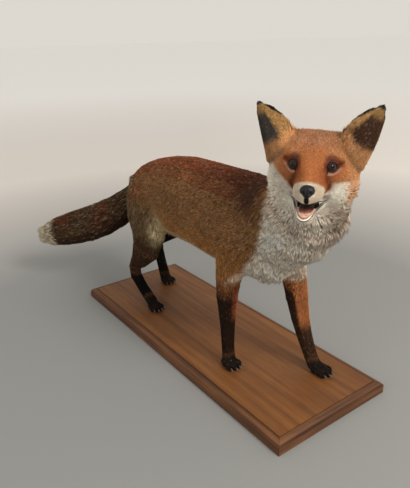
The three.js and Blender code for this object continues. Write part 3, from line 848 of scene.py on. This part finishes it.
# How much locks, single tufts and small patches differ in brightness; a patch's size is in metres.
LOCK_SHADES, TUFT_SHADES = 0.07, 0.1
PATCH_SHADES, PATCH_SIZE = 0.13, 0.006
# How far single tufts and swirls turn out of the hair's lie, in radians; a swirl's size is in metres.
STRAY = 0.13
SWIRL, SWIRL_SIZE = 0.16, 0.022
SLOTS = {"body": "fur_flank", "head": "fur_red", "tail": "fur_tail"}


def scatter(skin, chosen, density):
    """Random places on the chosen triangles: the triangle and the weights of its corners."""
    tris = skin.tris[chosen]
    a, b, c = (skin.co[tris[:, k]] for k in range(3))
    area = 0.5 * lengths(np.cross(b - a, c - a))
    wanted = area * density[tris].mean(axis=1)
    count = np.floor(wanted + random.random(len(tris))).astype(int)
    which = np.repeat(np.arange(len(tris)), count)
    u, v = random.random((2, len(which)))
    folded = u + v > 1
    u, v = np.where(folded, 1 - u, u), np.where(folded, 1 - v, v)
    return tris[which], columns(1 - u - v, u, v)


def bake_places(roots, line):
    """Each root's place on an unwrap of the skin: how far along its part it is, and round it."""
    share, foot, way = along(roots, LINES[line])
    out = roots - foot
    first = unit(np.cross(way, np.array([0.31, 0.83, 0.47])))
    second = np.cross(way, first)
    round_it = np.arctan2(dot(out, second), dot(out, first)) / (2 * math.pi) + 0.5
    return 0.01 + 0.97 * columns(round_it, share)


def leaned(roots, tips, lean):
    """Draws the tips of neighbouring tufts together into locks."""
    seeds = random.choice(len(roots), max(1, len(roots) // LOCK_TUFTS), replace=False)
    tree = kdtree.KDTree(len(seeds))
    for n, seed in enumerate(seeds):
        tree.insert(roots[seed], n)
    tree.balance()
    nearest = seeds[[tree.find(root)[1] for root in roots]]
    bright = random.normal(0, LOCK_SHADES, len(roots))[nearest]
    return tips + lean[:, None] * (tips[nearest] - tips), bright


def grow(skin, marks, chosen, line):
    """Tufts on the chosen triangles, as coat pieces."""
    density = 1 / (skin.spacing * MM * MM)
    density = np.where(skin.mouth | skin.bare, 0, density)
    corners, weights = scatter(skin, chosen, density)

    def at_roots(values):
        picked = values[corners]
        return (picked * weights.reshape(weights.shape + (1,) * (picked.ndim - 2))).sum(axis=1)

    roots = at_roots(skin.co)
    normal = unit(at_roots(skin.normal))
    flow = at_roots(skin.flow)
    flow = unit(flow - dot(flow, normal)[:, None] * normal)
    depth, length, width, _, lean, stand = (at_roots(getattr(skin, style)) for style in STYLES)
    count = len(roots)
    swirl = SWIRL * ripple(roots, SWIRL_SIZE, 7) + random.normal(0, STRAY, count)
    flow = flow * np.cos(swirl)[:, None] + np.cross(normal, flow) * np.sin(swirl)[:, None]
    side = np.cross(normal, flow)
    length = length * random.uniform(0.65, 1.2, count) * MM
    width = width * random.uniform(0.75, 1.25, count) * MM
    height = depth * MM * random.uniform(0.5, 1.0, count)
    tips = roots + flow * length[:, None] + normal * (height * stand)[:, None]
    tips, bright = leaned(roots, tips, lean)
    middle = roots + (tips - roots) * RING_AT + normal * (height * (RING_RISE - RING_AT * stand))[:, None]
    verts = np.empty((count, 5, 3))
    verts[:, 0] = roots - normal * ROOT_DEPTH
    for n, (across, up) in enumerate(RING_SHAPE):
        verts[:, n + 1] = middle + side * (across * width)[:, None] + normal * (up * width)[:, None]
    verts[:, 4] = tips
    varied = 0.45 if line == "head" else 1.0
    patches = PATCH_SHADES * ripple(roots, PATCH_SIZE, 3)
    bright = varied * (bright + patches + random.normal(0, TUFT_SHADES, count))
    tones = [at_roots(tone) for tone in (marks.main, marks.under, marks.dark, marks.pale)]
    write_coat(line, verts, tuft_colours(*tones, bright), bake_places(roots, line))


def tuft_colours(main, under, dark, pale, bright):
    """Each tuft's colour at its root, its ring and its tip; some tufts have a dark or a pale tip."""
    count = len(main)
    light = np.clip(1 + bright, 0.5, 1.6)[:, None]
    draw = random.random(count)
    tip = main * random.uniform(0.95, 1.15, count)[:, None]
    is_dark = (draw < dark)[:, None]
    is_pale = (draw > 1 - pale)[:, None]
    tip = np.where(is_dark, main * 0.28, tip)
    tip = np.where(is_pale, 0.45 * main + 0.55 * CREAM, tip)
    middle = np.where(is_pale, 0.8 * main + 0.2 * CREAM, main)
    middle = np.where(is_dark, main * 0.7, middle)
    colours = np.empty((count, 5, 3))
    colours[:, 0] = under * light
    colours[:, 1:4] = (middle * light)[:, None]
    colours[:, 4] = tip * light
    return np.clip(colours, 0, 0.9)


def write_coat(line, verts, colours, places):
    """Shares the tufts out to pieces at random, each with its map of bake patches."""
    parts = max(1, math.ceil(len(verts) / PIECE_TUFTS))
    slot = SLOTS.get(line.split("_")[0], "fur_black")
    for part, mine in enumerate(np.array_split(random.permutation(len(verts)), parts)):
        tris = (np.arange(len(mine))[:, None, None] * len(TUFT_PLACES) + TUFT_TRIS).reshape(-1, 3)
        form = (verts[mine].reshape(-1, 3), tris, colours[mine].reshape(-1, 3))
        mesh = add_piece(f"coat_{line}_{part + 1}", form, coat_material, slot)
        spots = (places[mine][:, None] + TUFT_PLACES * BAKE_PATCH).reshape(-1, 2)
        index = np.zeros(len(mesh.loops), np.int32)
        mesh.loops.foreach_get("vertex_index", index)
        layer = mesh.uv_layers.new(name="OFBake")
        layer.data.foreach_set("uv", spots[index].astype(np.float32).ravel())


# ---- materials ----
def new_material(name, **settings):
    material = bpy.data.materials.new(name)
    material.use_nodes = True
    shader = material.node_tree.nodes["Principled BSDF"]
    for socket, value in settings.items():
        shader.inputs[socket.replace("_", " ")].default_value = value
    return material, material.node_tree, shader


def node(tree, kind, inputs, **settings):
    """A shader node whose inputs are plain values or the outputs of other nodes."""
    made = tree.nodes.new("ShaderNode" + kind)
    for setting, value in settings.items():
        setattr(made, setting, value)
    for socket, value in inputs.items():
        if isinstance(value, bpy.types.NodeSocket):
            tree.links.new(value, made.inputs[socket])
        else:
            made.inputs[socket].default_value = value
    return made


def noise_node(tree, scale, detail=3.0, stretch=(1, 1, 1)):
    """A noise in the object's own space, drawn out along the axes whose stretch is small."""
    place = node(tree, "TexCoord", {}).outputs["Object"]
    mapped = node(tree, "Mapping", {"Scale": stretch, "Vector": place}).outputs["Vector"]
    return node(tree, "TexNoise", {"Scale": scale, "Detail": detail, "Vector": mapped}).outputs["Fac"]


def ramp_node(tree, source, *stops):
    """A colour ramp through (place, colour) stops."""
    ramp = node(tree, "ValToRGB", {"Fac": source})
    elements = ramp.color_ramp.elements
    while len(elements) < len(stops):
        elements.new(0.5)
    for element, (place, colour) in zip(elements, stops):
        element.position = place
        element.color = (*np.broadcast_to(colour, 3), 1)
    return ramp.outputs["Color"]


def blend_node(tree, kind, factor, first, second):
    inputs = {"Factor": factor, 6: first, 7: second}
    return node(tree, "Mix", inputs, data_type="RGBA", blend_type=kind).outputs[2]


def bump_node(tree, shader, source, distance, strength=1.0):
    bump = node(tree, "Bump", {"Height": source, "Distance": distance, "Strength": strength})
    tree.links.new(bump.outputs["Normal"], shader.inputs["Normal"])


FUR_FLECKS = (900, (0.25, 0.84), (0.75, 1.0))  # the noise's scale and the stops of its ramp
GLOSS_FLECKS = ((0.2, 0.85), (0.8, 1.0))


def make_marked_material(name, roughness, flecks, relief=None, **settings):
    """A finely flecked surface with its piece's own markings; relief is a noise's scale and its height."""
    material, tree, shader = new_material(name, Roughness=roughness, **settings)
    marks = node(tree, "Attribute", {}, attribute_name="coat").outputs["Color"]
    scale, *stops = flecks
    shade = ramp_node(tree, noise_node(tree, scale, 2.0), *stops)
    tree.links.new(blend_node(tree, "MULTIPLY", 1.0, marks, shade), shader.inputs["Base Color"])
    if relief:
        scale, height = relief
        bump_node(tree, shader, noise_node(tree, scale), height)
    return material


def make_gloss_material(name, roughness, height=0.0, scale=600, **settings):
    """A wet or polished surface."""
    relief = (scale, height) if height else None
    return make_marked_material(name, roughness, (scale, *GLOSS_FLECKS), relief, **settings)


coat_material = make_marked_material("coat", 0.72, FUR_FLECKS, Specular_IOR_Level=0.12)
skin_material = make_marked_material("skin", 0.8, FUR_FLECKS, (700, 0.6 * MM), Specular_IOR_Level=0.12)


# ---- eyes, nose, mouth and claws ----
def ball(around, rows):
    """A unit sphere's vertices and triangles; its poles are on the Z axis."""
    bm = bmesh.new()
    bmesh.ops.create_uvsphere(bm, u_segments=around, v_segments=rows, radius=1)
    bmesh.ops.triangulate(bm, faces=bm.faces)
    verts = np.array([v.co for v in bm.verts])
    tris = np.array([[v.index for v in f.verts] for f in bm.faces])
    bm.free()
    return verts, tris


def ring_tris(rings, around):
    """Triangles over rings of points, one ring after another; two last points close the ends."""
    last = (rings - 1) * around
    start, end = last + around, last + around + 1
    tris = []
    for k in range(around):
        after = (k + 1) % around
        tris += [(start, after, k), (end, last + k, last + after)]
        for ring in range(0, last, around):
            here, there = ring + around + k, ring + around + after
            tris += [(ring + k, ring + after, there), (ring + k, there, here)]
    return np.array(tris)


def tube(path, radii, around=10):
    """A closed tube through points, thinner or thicker along its way."""
    path = np.asarray(path, float)
    way = unit(np.gradient(path, axis=0))
    first = unit(np.cross(way, np.array([0.1, 0.2, 1.0])))[:, None]
    second = np.cross(way, first[:, 0])[:, None]
    angles = (np.arange(around) * 2 * math.pi / around)[:, None]
    radii = np.broadcast_to(radii, len(path))[:, None, None]
    rings = path[:, None] + radii * (np.cos(angles) * first + np.sin(angles) * second)
    verts = np.concatenate([rings.reshape(-1, 3), path[:1], path[-1:]])
    return verts, ring_tris(len(path), around)


def merged(parts):
    """Several (vertices, triangles, colour) parts as one."""
    verts, tris, colours, start = [], [], [], 0
    for part_verts, part_tris, colour in parts:
        verts.append(part_verts)
        tris.append(part_tris + start)
        colours.append(np.broadcast_to(colour, (len(part_verts), 3)))
        start += len(part_verts)
    return np.concatenate(verts), np.concatenate(tris), np.concatenate(colours)


def curve_through(points, count):
    """A smooth curve through a few points, as `count` points."""
    points = np.asarray(points, float)
    knots = np.concatenate([points[:1] * 2 - points[1:2], points, points[-1:] * 2 - points[-2:-1]])
    result = []
    for t in np.linspace(0, len(points) - 1, count):
        n = min(int(t), len(points) - 2)
        u = t - n
        a, b, c, d = knots[n : n + 4]
        bend = (2 * a - 5 * b + 4 * c - d) * u * u + (3 * b - a - 3 * c + d) * u**3
        result.append(0.5 * (2 * b + (c - a) * u + bend))
    return np.array(result)


IRIS = rgb(50, 32, 21)
# painted reflection of the floor, laid on the lower iris
IRIS_FLOOR_REFLECTION = rgb(92, 72, 54)
PUPIL = rgb(8, 6, 6)


def build_eyes():
    material = make_gloss_material("eye", 0.05, Specular_IOR_Level=0.22)
    verts, tris = ball(48, 32)
    across, up, out = verts.T
    cornea = 0.045 * np.exp(-((1 - out) / 0.09) ** 2)
    iris = 1 - ease(np.hypot(across, up) + 2 * (out < 0), 0.66, 0.78)
    pupil = 1 - ease(np.hypot(across / 0.34, up / 0.42), 0.85, 1.1)
    streaks = 1 + 0.15 * np.sin(np.arctan2(up, across) * 23)
    # the lower iris is lighter: a painted reflection of the floor
    low = ease(-up, 0.1, 0.5)[:, None] * 0.5
    tint = (IRIS + low * (IRIS_FLOOR_REFLECTION - IRIS)) * streaks[:, None]
    colours = np.tile(PUPIL * 2, (len(verts), 1))
    colours += iris[:, None] * (tint - colours)
    colours += pupil[:, None] * (PUPIL - colours)
    for hand in SIDES:
        local = (verts * (1 + cornea)[:, None] * EYE_RADIUS) @ eye_axes(hand) + EYES[hand]
        add_piece("eye_ball_" + hand, (from_head(local), tris, colours), material, "eye", "eye_" + hand)


def build_lid_rims():
    """A dark moist rim that follows the lids' opening."""
    material = make_gloss_material("lid_rim", 0.6, Specular_IOR_Level=0.3)
    angles = np.linspace(0, 2 * math.pi, 49)
    cos, sin = np.cos(angles), np.sin(angles)
    power = 2 / LID_POWER
    tall = np.where(sin > 0, OPENING["upper"], OPENING["lower"])
    across = 1.03 * OPENING["half"] * np.sign(cos) * np.abs(cos) ** power
    up = 1.03 * tall * np.sign(sin) * np.abs(sin) ** power
    out = np.sqrt(np.maximum((EYE_RADIUS + 0.5) ** 2 - across**2 - up**2, 4))
    ring = columns(across, up, out)
    parts = [(*tube(from_head(ring @ eye_axes(hand) + EYES[hand]), 0.7 * MM, 8), SOOT) for hand in SIDES]
    add_piece("lid_rims", merged(parts), material, "nose")


NOSE_AT = np.array([61.5, 0, -29.5])
NOSE_SIZE = np.array([9.5, 11.2, 9.9])
LEATHER = rgb(13, 14, 16)


def build_nose():
    material = make_gloss_material("nose_leather", 0.5, 0.25 * MM, 1400, Specular_IOR_Level=0.35)
    verts, tris = ball(72, 48)
    turned = verts[:, [2, 0, 1]]  # the poles face the front and the back
    x, y, z = turned.T
    aside = np.abs(y)
    squared = np.sign(turned) * np.abs(turned) ** 0.88
    narrow = 1 - 0.5 * ease(-z, -0.1, 1.0)
    local = squared * NOSE_SIZE
    local[:, 1] *= narrow
    front = ease(x, 0.0, 0.5)
    pit = np.exp(-(((aside - 0.45) / 0.17) ** 2) - ((z + 0.08) / 0.2) ** 2) * front
    slit = np.exp(-(((aside - 0.78) / 0.2) ** 2) - ((z + 0.3 + 0.25 * (aside - 0.6)) / 0.1) ** 2)
    slit *= ease(x, -0.1, 0.3)
    groove = np.exp(-((y / 0.07) ** 2)) * front * (1 - ease(z, 0.2, 0.6))
    local -= turned * (3.4 * pit + 1.8 * slit + 1.3 * groove)[:, None]
    local += NOSE_AT
    colours = np.tile(LEATHER, (len(verts), 1))
    # painted shade: the nostrils' pits and slits are darker
    colours *= (1 - 0.8 * np.clip(pit + slit, 0, 1))[:, None]
    add_piece("nose_pad", (from_head(local), tris, colours), material, "nose", "nose")


LOWER_LIP = [(-12, 27, -53.5), (0, 21.7, -58), (14, 16.8, -63), (30, 11.6, -69.5), (42, 7.4, -74.5)]
LOWER_LIP += [(48, 0, -76.5)]
UPPER_LIP = [(-12, 30, -53), (4, 24, -52.5), (20, 19, -50.5), (38, 14.5, -49.5), (50, 9.5, -49), (56, 0, -48)]


JAW_ASIDE = -2.8  # how far to the left of the head's middle the jaw's front is


def both_sides(points):
    """A line given on the left side, carried on over the middle to the right side."""
    mirrored = [(x, -y, z) for x, y, z in points[-2::-1]]
    return curve_through(list(points) + mirrored, 81)


def build_lips():
    material = make_gloss_material("lip", 0.55, 0.2 * MM, 900)
    lower, upper = both_sides(LOWER_LIP), both_sides(UPPER_LIP)
    lower[:, 1] += JAW_ASIDE * ease(lower[:, 0], -10, 32)
    outer = lower + np.array([0.3, 0, -1.7])
    outer[:, 1] += 0.05 * (outer[:, 1] - JAW_ASIDE)
    front = ease(lower[:, 0], 10, 34)[:, None]
    pale = SOOT + front * (rgb(236, 222, 208) - SOOT)
    around = 10
    pale = np.concatenate([np.repeat(pale, around, axis=0), pale[-1:], pale[-1:]])
    ends = np.sin(np.linspace(0.05, math.pi - 0.05, len(lower)))
    lines = (
        (lower, 0.4 + 1.0 * ends, pale),
        (outer, 0.25 + 0.5 * ends**0.5, SOOT * 1.4),
        (upper, 0.3 + 0.5 * ends**0.5, SOOT * 1.2),
    )
    parts = []
    for line, radii, tone in lines:
        verts, tris = tube(line, radii, around)
        parts.append((from_head(verts), tris, tone))
    add_piece("lips", merged(parts), material, "nose")


GUMS = {
    "upper": {"front": 51, "back": 12, "half": 12.5, "low": -46, "high": -43.5, "aside": 0, "facing": -1},
    "lower": {"front": 44.5, "back": 8, "half": 14, "low": -73, "high": -61, "aside": JAW_ASIDE, "facing": 1},
}


def gum_point(gum, t):
    """A place on a gum's middle line, from its right end at 0 to its left end at 1."""
    a = math.pi * (np.asarray(t, float) - 0.5)
    depth = 1 - np.cos(a) ** 0.75
    across = gum["half"] * np.sin(a) * (0.72 + 0.28 * depth) + gum["aside"] * (1 - depth)
    x = gum["front"] - (gum["front"] - gum["back"]) * depth
    return np.stack([x, across, gum["low"] + (gum["high"] - gum["low"]) * depth], axis=-1)


def tooth_form(height, wide, curve):
    """A tooth that stands along Z: rounded at its foot, bent back towards -X at its tip."""
    steps = np.linspace(0, 1, 9)
    path = columns(-curve * steps**2, 0 * steps, height * steps)
    return tube(path, wide * (1 - steps**1.8) ** 0.6 + 0.05, 10)


def build_teeth():
    gum_material = make_gloss_material("gum", 0.35, 0.2 * MM, 500)
    tooth_material = make_gloss_material("tooth", 0.2, Coat_Weight=0.3)
    ivory, root, flesh = rgb(220, 190, 164), rgb(196, 148, 124), rgb(184, 132, 112)
    for jaw, gum in GUMS.items():
        line = gum_point(gum, np.linspace(0.06, 0.94, 41))
        verts, tris = tube(line, 1.75, 12)
        form = (from_head(verts), tris, flesh)
        add_piece("gum_" + jaw, form, gum_material, "tongue", "gum_and_teeth_" + jaw)
        parts = []
        for t in np.linspace(0.08, 0.92, 19):
            place = abs(t - 0.5)
            is_canine = abs(place - 0.21) < 0.03
            height = 3.0 if is_canine else 0.9 + 0.5 * (place > 0.28)
            wide = 1.5 if is_canine else 1.2
            verts, tris = tooth_form(height, wide, 1.8 if is_canine else 0.3)
            shade = ease(verts[:, 2], 0, height * 0.5)
            verts[:, 2] *= gum["facing"]
            tris = tris[:, ::-1] if gum["facing"] < 0 else tris
            verts = verts + gum_point(gum, t) + np.array([0, 0, gum["facing"] * 1.1])
            parts.append((from_head(verts), tris, root + shade[:, None] * (ivory - root)))
        add_piece("teeth_" + jaw, merged(parts), tooth_material, "teeth")


# painted shade: the back of the tongue, deep in the mouth, is near black
TONGUE_BACK_SHADE = rgb(44, 22, 18)
TONGUE = rgb(142, 92, 80)
TONGUE_TIP = rgb(232, 188, 166)


def build_tongue():
    material = make_gloss_material("tongue", 0.34, 0.3 * MM, 1100, Coat_Weight=0.3)
    steps, around = 28, 28
    line = [(-14, 0, -57), (8, -1, -62), (24, -2, -66.7), (34, -2.7, -70.4), (38.5, -2.8, -72)]
    middle = curve_through(line, steps)
    share = np.linspace(0, 1, steps)
    half = 11 * (1 - 0.42 * ease(share, 0.45, 1.0)) * np.sqrt(np.clip(1 - share**9, 0.02, 1))
    thick = 3.6 * (1 - 0.4 * share)
    angles = np.arange(around) * 2 * math.pi / around
    rings = []
    for n in range(steps):
        across = half[n] * np.cos(angles)
        up = thick[n] * np.sin(angles)
        up = np.where(up > 0, up * (0.7 + 0.5 * (across / half[n]) ** 2), up)
        up -= 1.3 * np.exp(-((across / 1.3) ** 2)) * (np.sin(angles) > 0)
        rings.append(middle[n] + columns(0 * across, across, up))
    verts = np.concatenate([np.concatenate(rings), middle[:1], middle[-1:] + np.array([[1.0, 0, -0.4]])])
    body = ease(verts[:, 0], 18, 30)[:, None]
    tip = ease(verts[:, 0], 29, 38)[:, None]
    # the tongue darkens towards its back as painted shade
    colours = TONGUE_BACK_SHADE + body * (TONGUE - TONGUE_BACK_SHADE)
    colours += tip * (TONGUE_TIP - colours)
    form = (from_head(verts), ring_tris(steps, around), colours)
    add_piece("tongue_body", form, material, "tongue", "tongue")


def build_claws():
    """Each claw is a smooth horn bent down along its node's own axis."""
    material = make_gloss_material("claw", 0.4, 0.15 * MM, 800)
    horn, tip_colour = rgb(70, 60, 50), rgb(120, 108, 90)
    steps = np.linspace(0, 1, 9)
    radii = 1.75 * MM * (1 - steps**1.6) ** 0.7 + 0.08 * MM
    for name in sorted(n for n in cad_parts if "_claw_" in n):
        points = np.array([v.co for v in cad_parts[name].data.vertices])
        tip = points[points[:, 0].argmax()]
        base = points[points[:, 0] < points[:, 0].min() + 3.2 * MM].mean(axis=0)
        way = tip - base
        path = base - 0.2 * way + np.outer(steps, way * 1.2)
        path[:, 2] += 1.1 * MM * np.sin(math.pi * steps)
        verts, tris = tube(path, radii)
        shade = ease(dot(verts - base, unit(way)), 0, 0.008)[:, None]
        add_piece(name + "_horn", (verts, tris, horn + shade * (tip_colour - horn)), material, "claw", name)


# ---- the board ----
def make_wood(name, lengthwise, light, dark, stain):
    """Stained wood with its grain along X, or along Y."""
    material, tree, shader = new_material(name, Roughness=0.6, Coat_Weight=0.05, Specular_IOR_Level=0.3)
    grain = (1.2, 26, 26) if lengthwise else (26, 1.2, 26)
    fine = (4, 120, 120) if lengthwise else (120, 4, 120)
    bands = noise_node(tree, 3.0, 6.0, grain)
    pores = noise_node(tree, 9.0, 4.0, fine)
    clouds = noise_node(tree, 7.0, 4.0)
    colour = ramp_node(tree, bands, (0.3, dark), (0.5, (light + dark) / 2), (0.7, light))
    colour = blend_node(tree, "MULTIPLY", 0.5, colour, ramp_node(tree, pores, (0.35, 0.55), (0.55, 1.0)))
    colour = blend_node(tree, "MULTIPLY", 0.6, colour, ramp_node(tree, clouds, (0.3, stain), (0.7, 1.0)))
    tree.links.new(colour, shader.inputs["Base Color"])
    bump_node(tree, shader, pores, 0.25 * MM, 0.6)
    return material


def dress_board():
    stain = np.array([0.55, 0.5, 0.48])
    red = rgb(128, 84, 50), rgb(70, 43, 28)
    panel = make_wood("panel_wood", True, rgb(132, 85, 41), rgb(103, 62, 28), np.array([0.72, 0.66, 0.6]))
    long_side = make_wood("long_moulding_wood", True, *red, stain)
    end_side = make_wood("end_moulding_wood", False, *red, stain)
    dressed = {"base_panel": panel}
    dressed |= {"base_moulding_" + where: long_side for where in ("right", "left")}
    dressed |= {"base_moulding_" + where: end_side for where in ("front", "rear")}
    for name, material in dressed.items():
        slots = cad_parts[name].data.materials
        slots.clear()
        slots.append(material)


# ---- the fox ----
NOSE_INSET = 2.5 * MM  # how far the skin steps back under the nose's leather
BARE_LIDS = 1.35  # no tufts grow nearer an eye than this, in the lids' measure


def build_fox():
    skin = measure_skin()
    marks = mark_skin(skin)
    nose = lengths((skin.local - NOSE_AT) / (NOSE_SIZE + 0.6))
    skin.bare = nose < 1
    for hand in SIDES:
        skin.bare |= lid_measure(skin.local, hand) < BARE_LIDS
    inset = (nose < 1.06)[:, None] * skin.normal * NOSE_INSET
    form = (skin.co - inset, skin.tris, np.clip(marks.under * 1.1, 0, 0.8))
    add_piece("skin", form, skin_material, "fur_red", *FLESH)
    for line in LINES:
        mine = FLESH_LINES[skin.owner] == line
        grow(skin, marks, mine[skin.tris].sum(axis=1) >= 2, line)


# ---- stage, lights and camera ----
CAMERA = {"azimuth": 54.851, "elevation": 21.807, "roll": -1.869, "at": (0.92452, -0.66438, 0.70571)}
FOCAL = 522.155  # the focal length in pixels of a frame whose long side is 488
LONG_SIDE = 488
SENSOR = 36.0
LIT = (0.1, 0, 0.3)  # where the lamps are aimed
FLOOR_Z = -0.0005
FLOOR_GREY, FLOOR_PALE = rgb(154, 155, 154), rgb(250, 244, 238)
FLOOR_FAR = (0.98, 0.98, 0.98, 1)
ROOM = (0.95, 0.9, 0.83, 1)
ROOM_LIGHT = 0.76


def set_camera():
    azimuth, elevation, roll = (math.radians(CAMERA[k]) for k in ("azimuth", "elevation", "roll"))
    flat = math.cos(elevation)
    back = Vector((math.sin(azimuth) * flat, -math.cos(azimuth) * flat, math.sin(elevation)))
    level = Vector((math.cos(azimuth), math.sin(azimuth), 0))
    upright = back.cross(level)
    right = level * math.cos(roll) + upright * math.sin(roll)
    up = upright * math.cos(roll) - level * math.sin(roll)
    camera = bpy.data.objects.new("camera", bpy.data.cameras.new("camera"))
    camera.matrix_world = Matrix.Translation(CAMERA["at"]) @ Matrix((right, up, back)).transposed().to_4x4()
    camera.data.sensor_width = SENSOR
    camera.data.lens = SENSOR * FOCAL / LONG_SIDE
    camera.data.clip_start = 0.05
    bpy.context.scene.collection.objects.link(camera)
    bpy.context.scene.camera = camera


def add_light(name, at, size, power, colour):
    """A round lamp that faces the fox."""
    light = bpy.data.lights.new(name, "AREA")
    light.shape = "DISK"
    light.size = size
    light.energy = power
    light.color = colour
    lamp = bpy.data.objects.new(name, light)
    lamp.location = at
    lamp.rotation_mode = "QUATERNION"
    lamp.rotation_quaternion = (Vector(LIT) - Vector(at)).to_track_quat("-Z", "Y")
    bpy.context.scene.collection.objects.link(lamp)


def set_stage():
    """A floor that is greyer near the board, darker to its left as painted shade away from the light, and far
    off has the room's own tone.
    """
    material, tree, shader = new_material("floor", Roughness=0.85)
    place = node(tree, "TexCoord", {}).outputs["Object"]
    far = node(tree, "VectorMath", {0: place}, operation="LENGTH").outputs["Value"]
    across = node(tree, "VectorMath", {0: place, 1: (0.12, 0.17, 0)}, operation="DOT_PRODUCT")
    near = node(tree, "MapRange", {"Value": far, "From Min": 0.7, "From Max": 1.9}).outputs["Result"]
    colour = ramp_node(tree, near, (0.0, FLOOR_GREY), (1.0, FLOOR_PALE))
    # painted shade: the floor darkens towards the camera's left, away from the light
    painted_floor_shade = ramp_node(tree, across.outputs["Value"], (0.0, 0.76), (0.5, 1.0))
    colour = blend_node(tree, "MULTIPLY", 1.0, colour, painted_floor_shade)
    reach = {"Value": far, "From Min": 1.2, "From Max": 7.0}
    distance = node(tree, "MapRange", reach, interpolation_type="SMOOTHSTEP").outputs["Result"]
    colour = blend_node(tree, "MIX", distance, colour, FLOOR_FAR)
    tree.links.new(colour, shader.inputs["Base Color"])
    bm = bmesh.new()
    bmesh.ops.create_circle(bm, cap_ends=True, segments=96, radius=60)
    mesh = bpy.data.meshes.new("floor")
    bm.to_mesh(mesh)
    bm.free()
    mesh.materials.append(material)
    floor = bpy.data.objects.new("floor", mesh)
    floor.location.z = FLOOR_Z
    bpy.context.scene.collection.objects.link(floor)


def set_lights():
    world = bpy.data.worlds.new("studio")
    world.use_nodes = True
    background = world.node_tree.nodes["Background"]
    background.inputs["Color"].default_value = ROOM
    background.inputs["Strength"].default_value = ROOM_LIGHT
    bpy.context.scene.world = world
    add_light("key", (2.5, 0.15, 2.2), 1.0, 70, (1.0, 0.95, 0.88))
    add_light("fill", (0.2, -2.6, 1.5), 1.6, 12, (0.92, 0.96, 1.0))
    bpy.context.scene.view_settings.view_transform = "Standard"


for build in (build_fox, build_eyes, build_lid_rims, build_nose, build_lips, build_teeth, build_tongue):
    build()
for build in (build_claws, dress_board, set_stage, set_lights, set_camera):
    build()
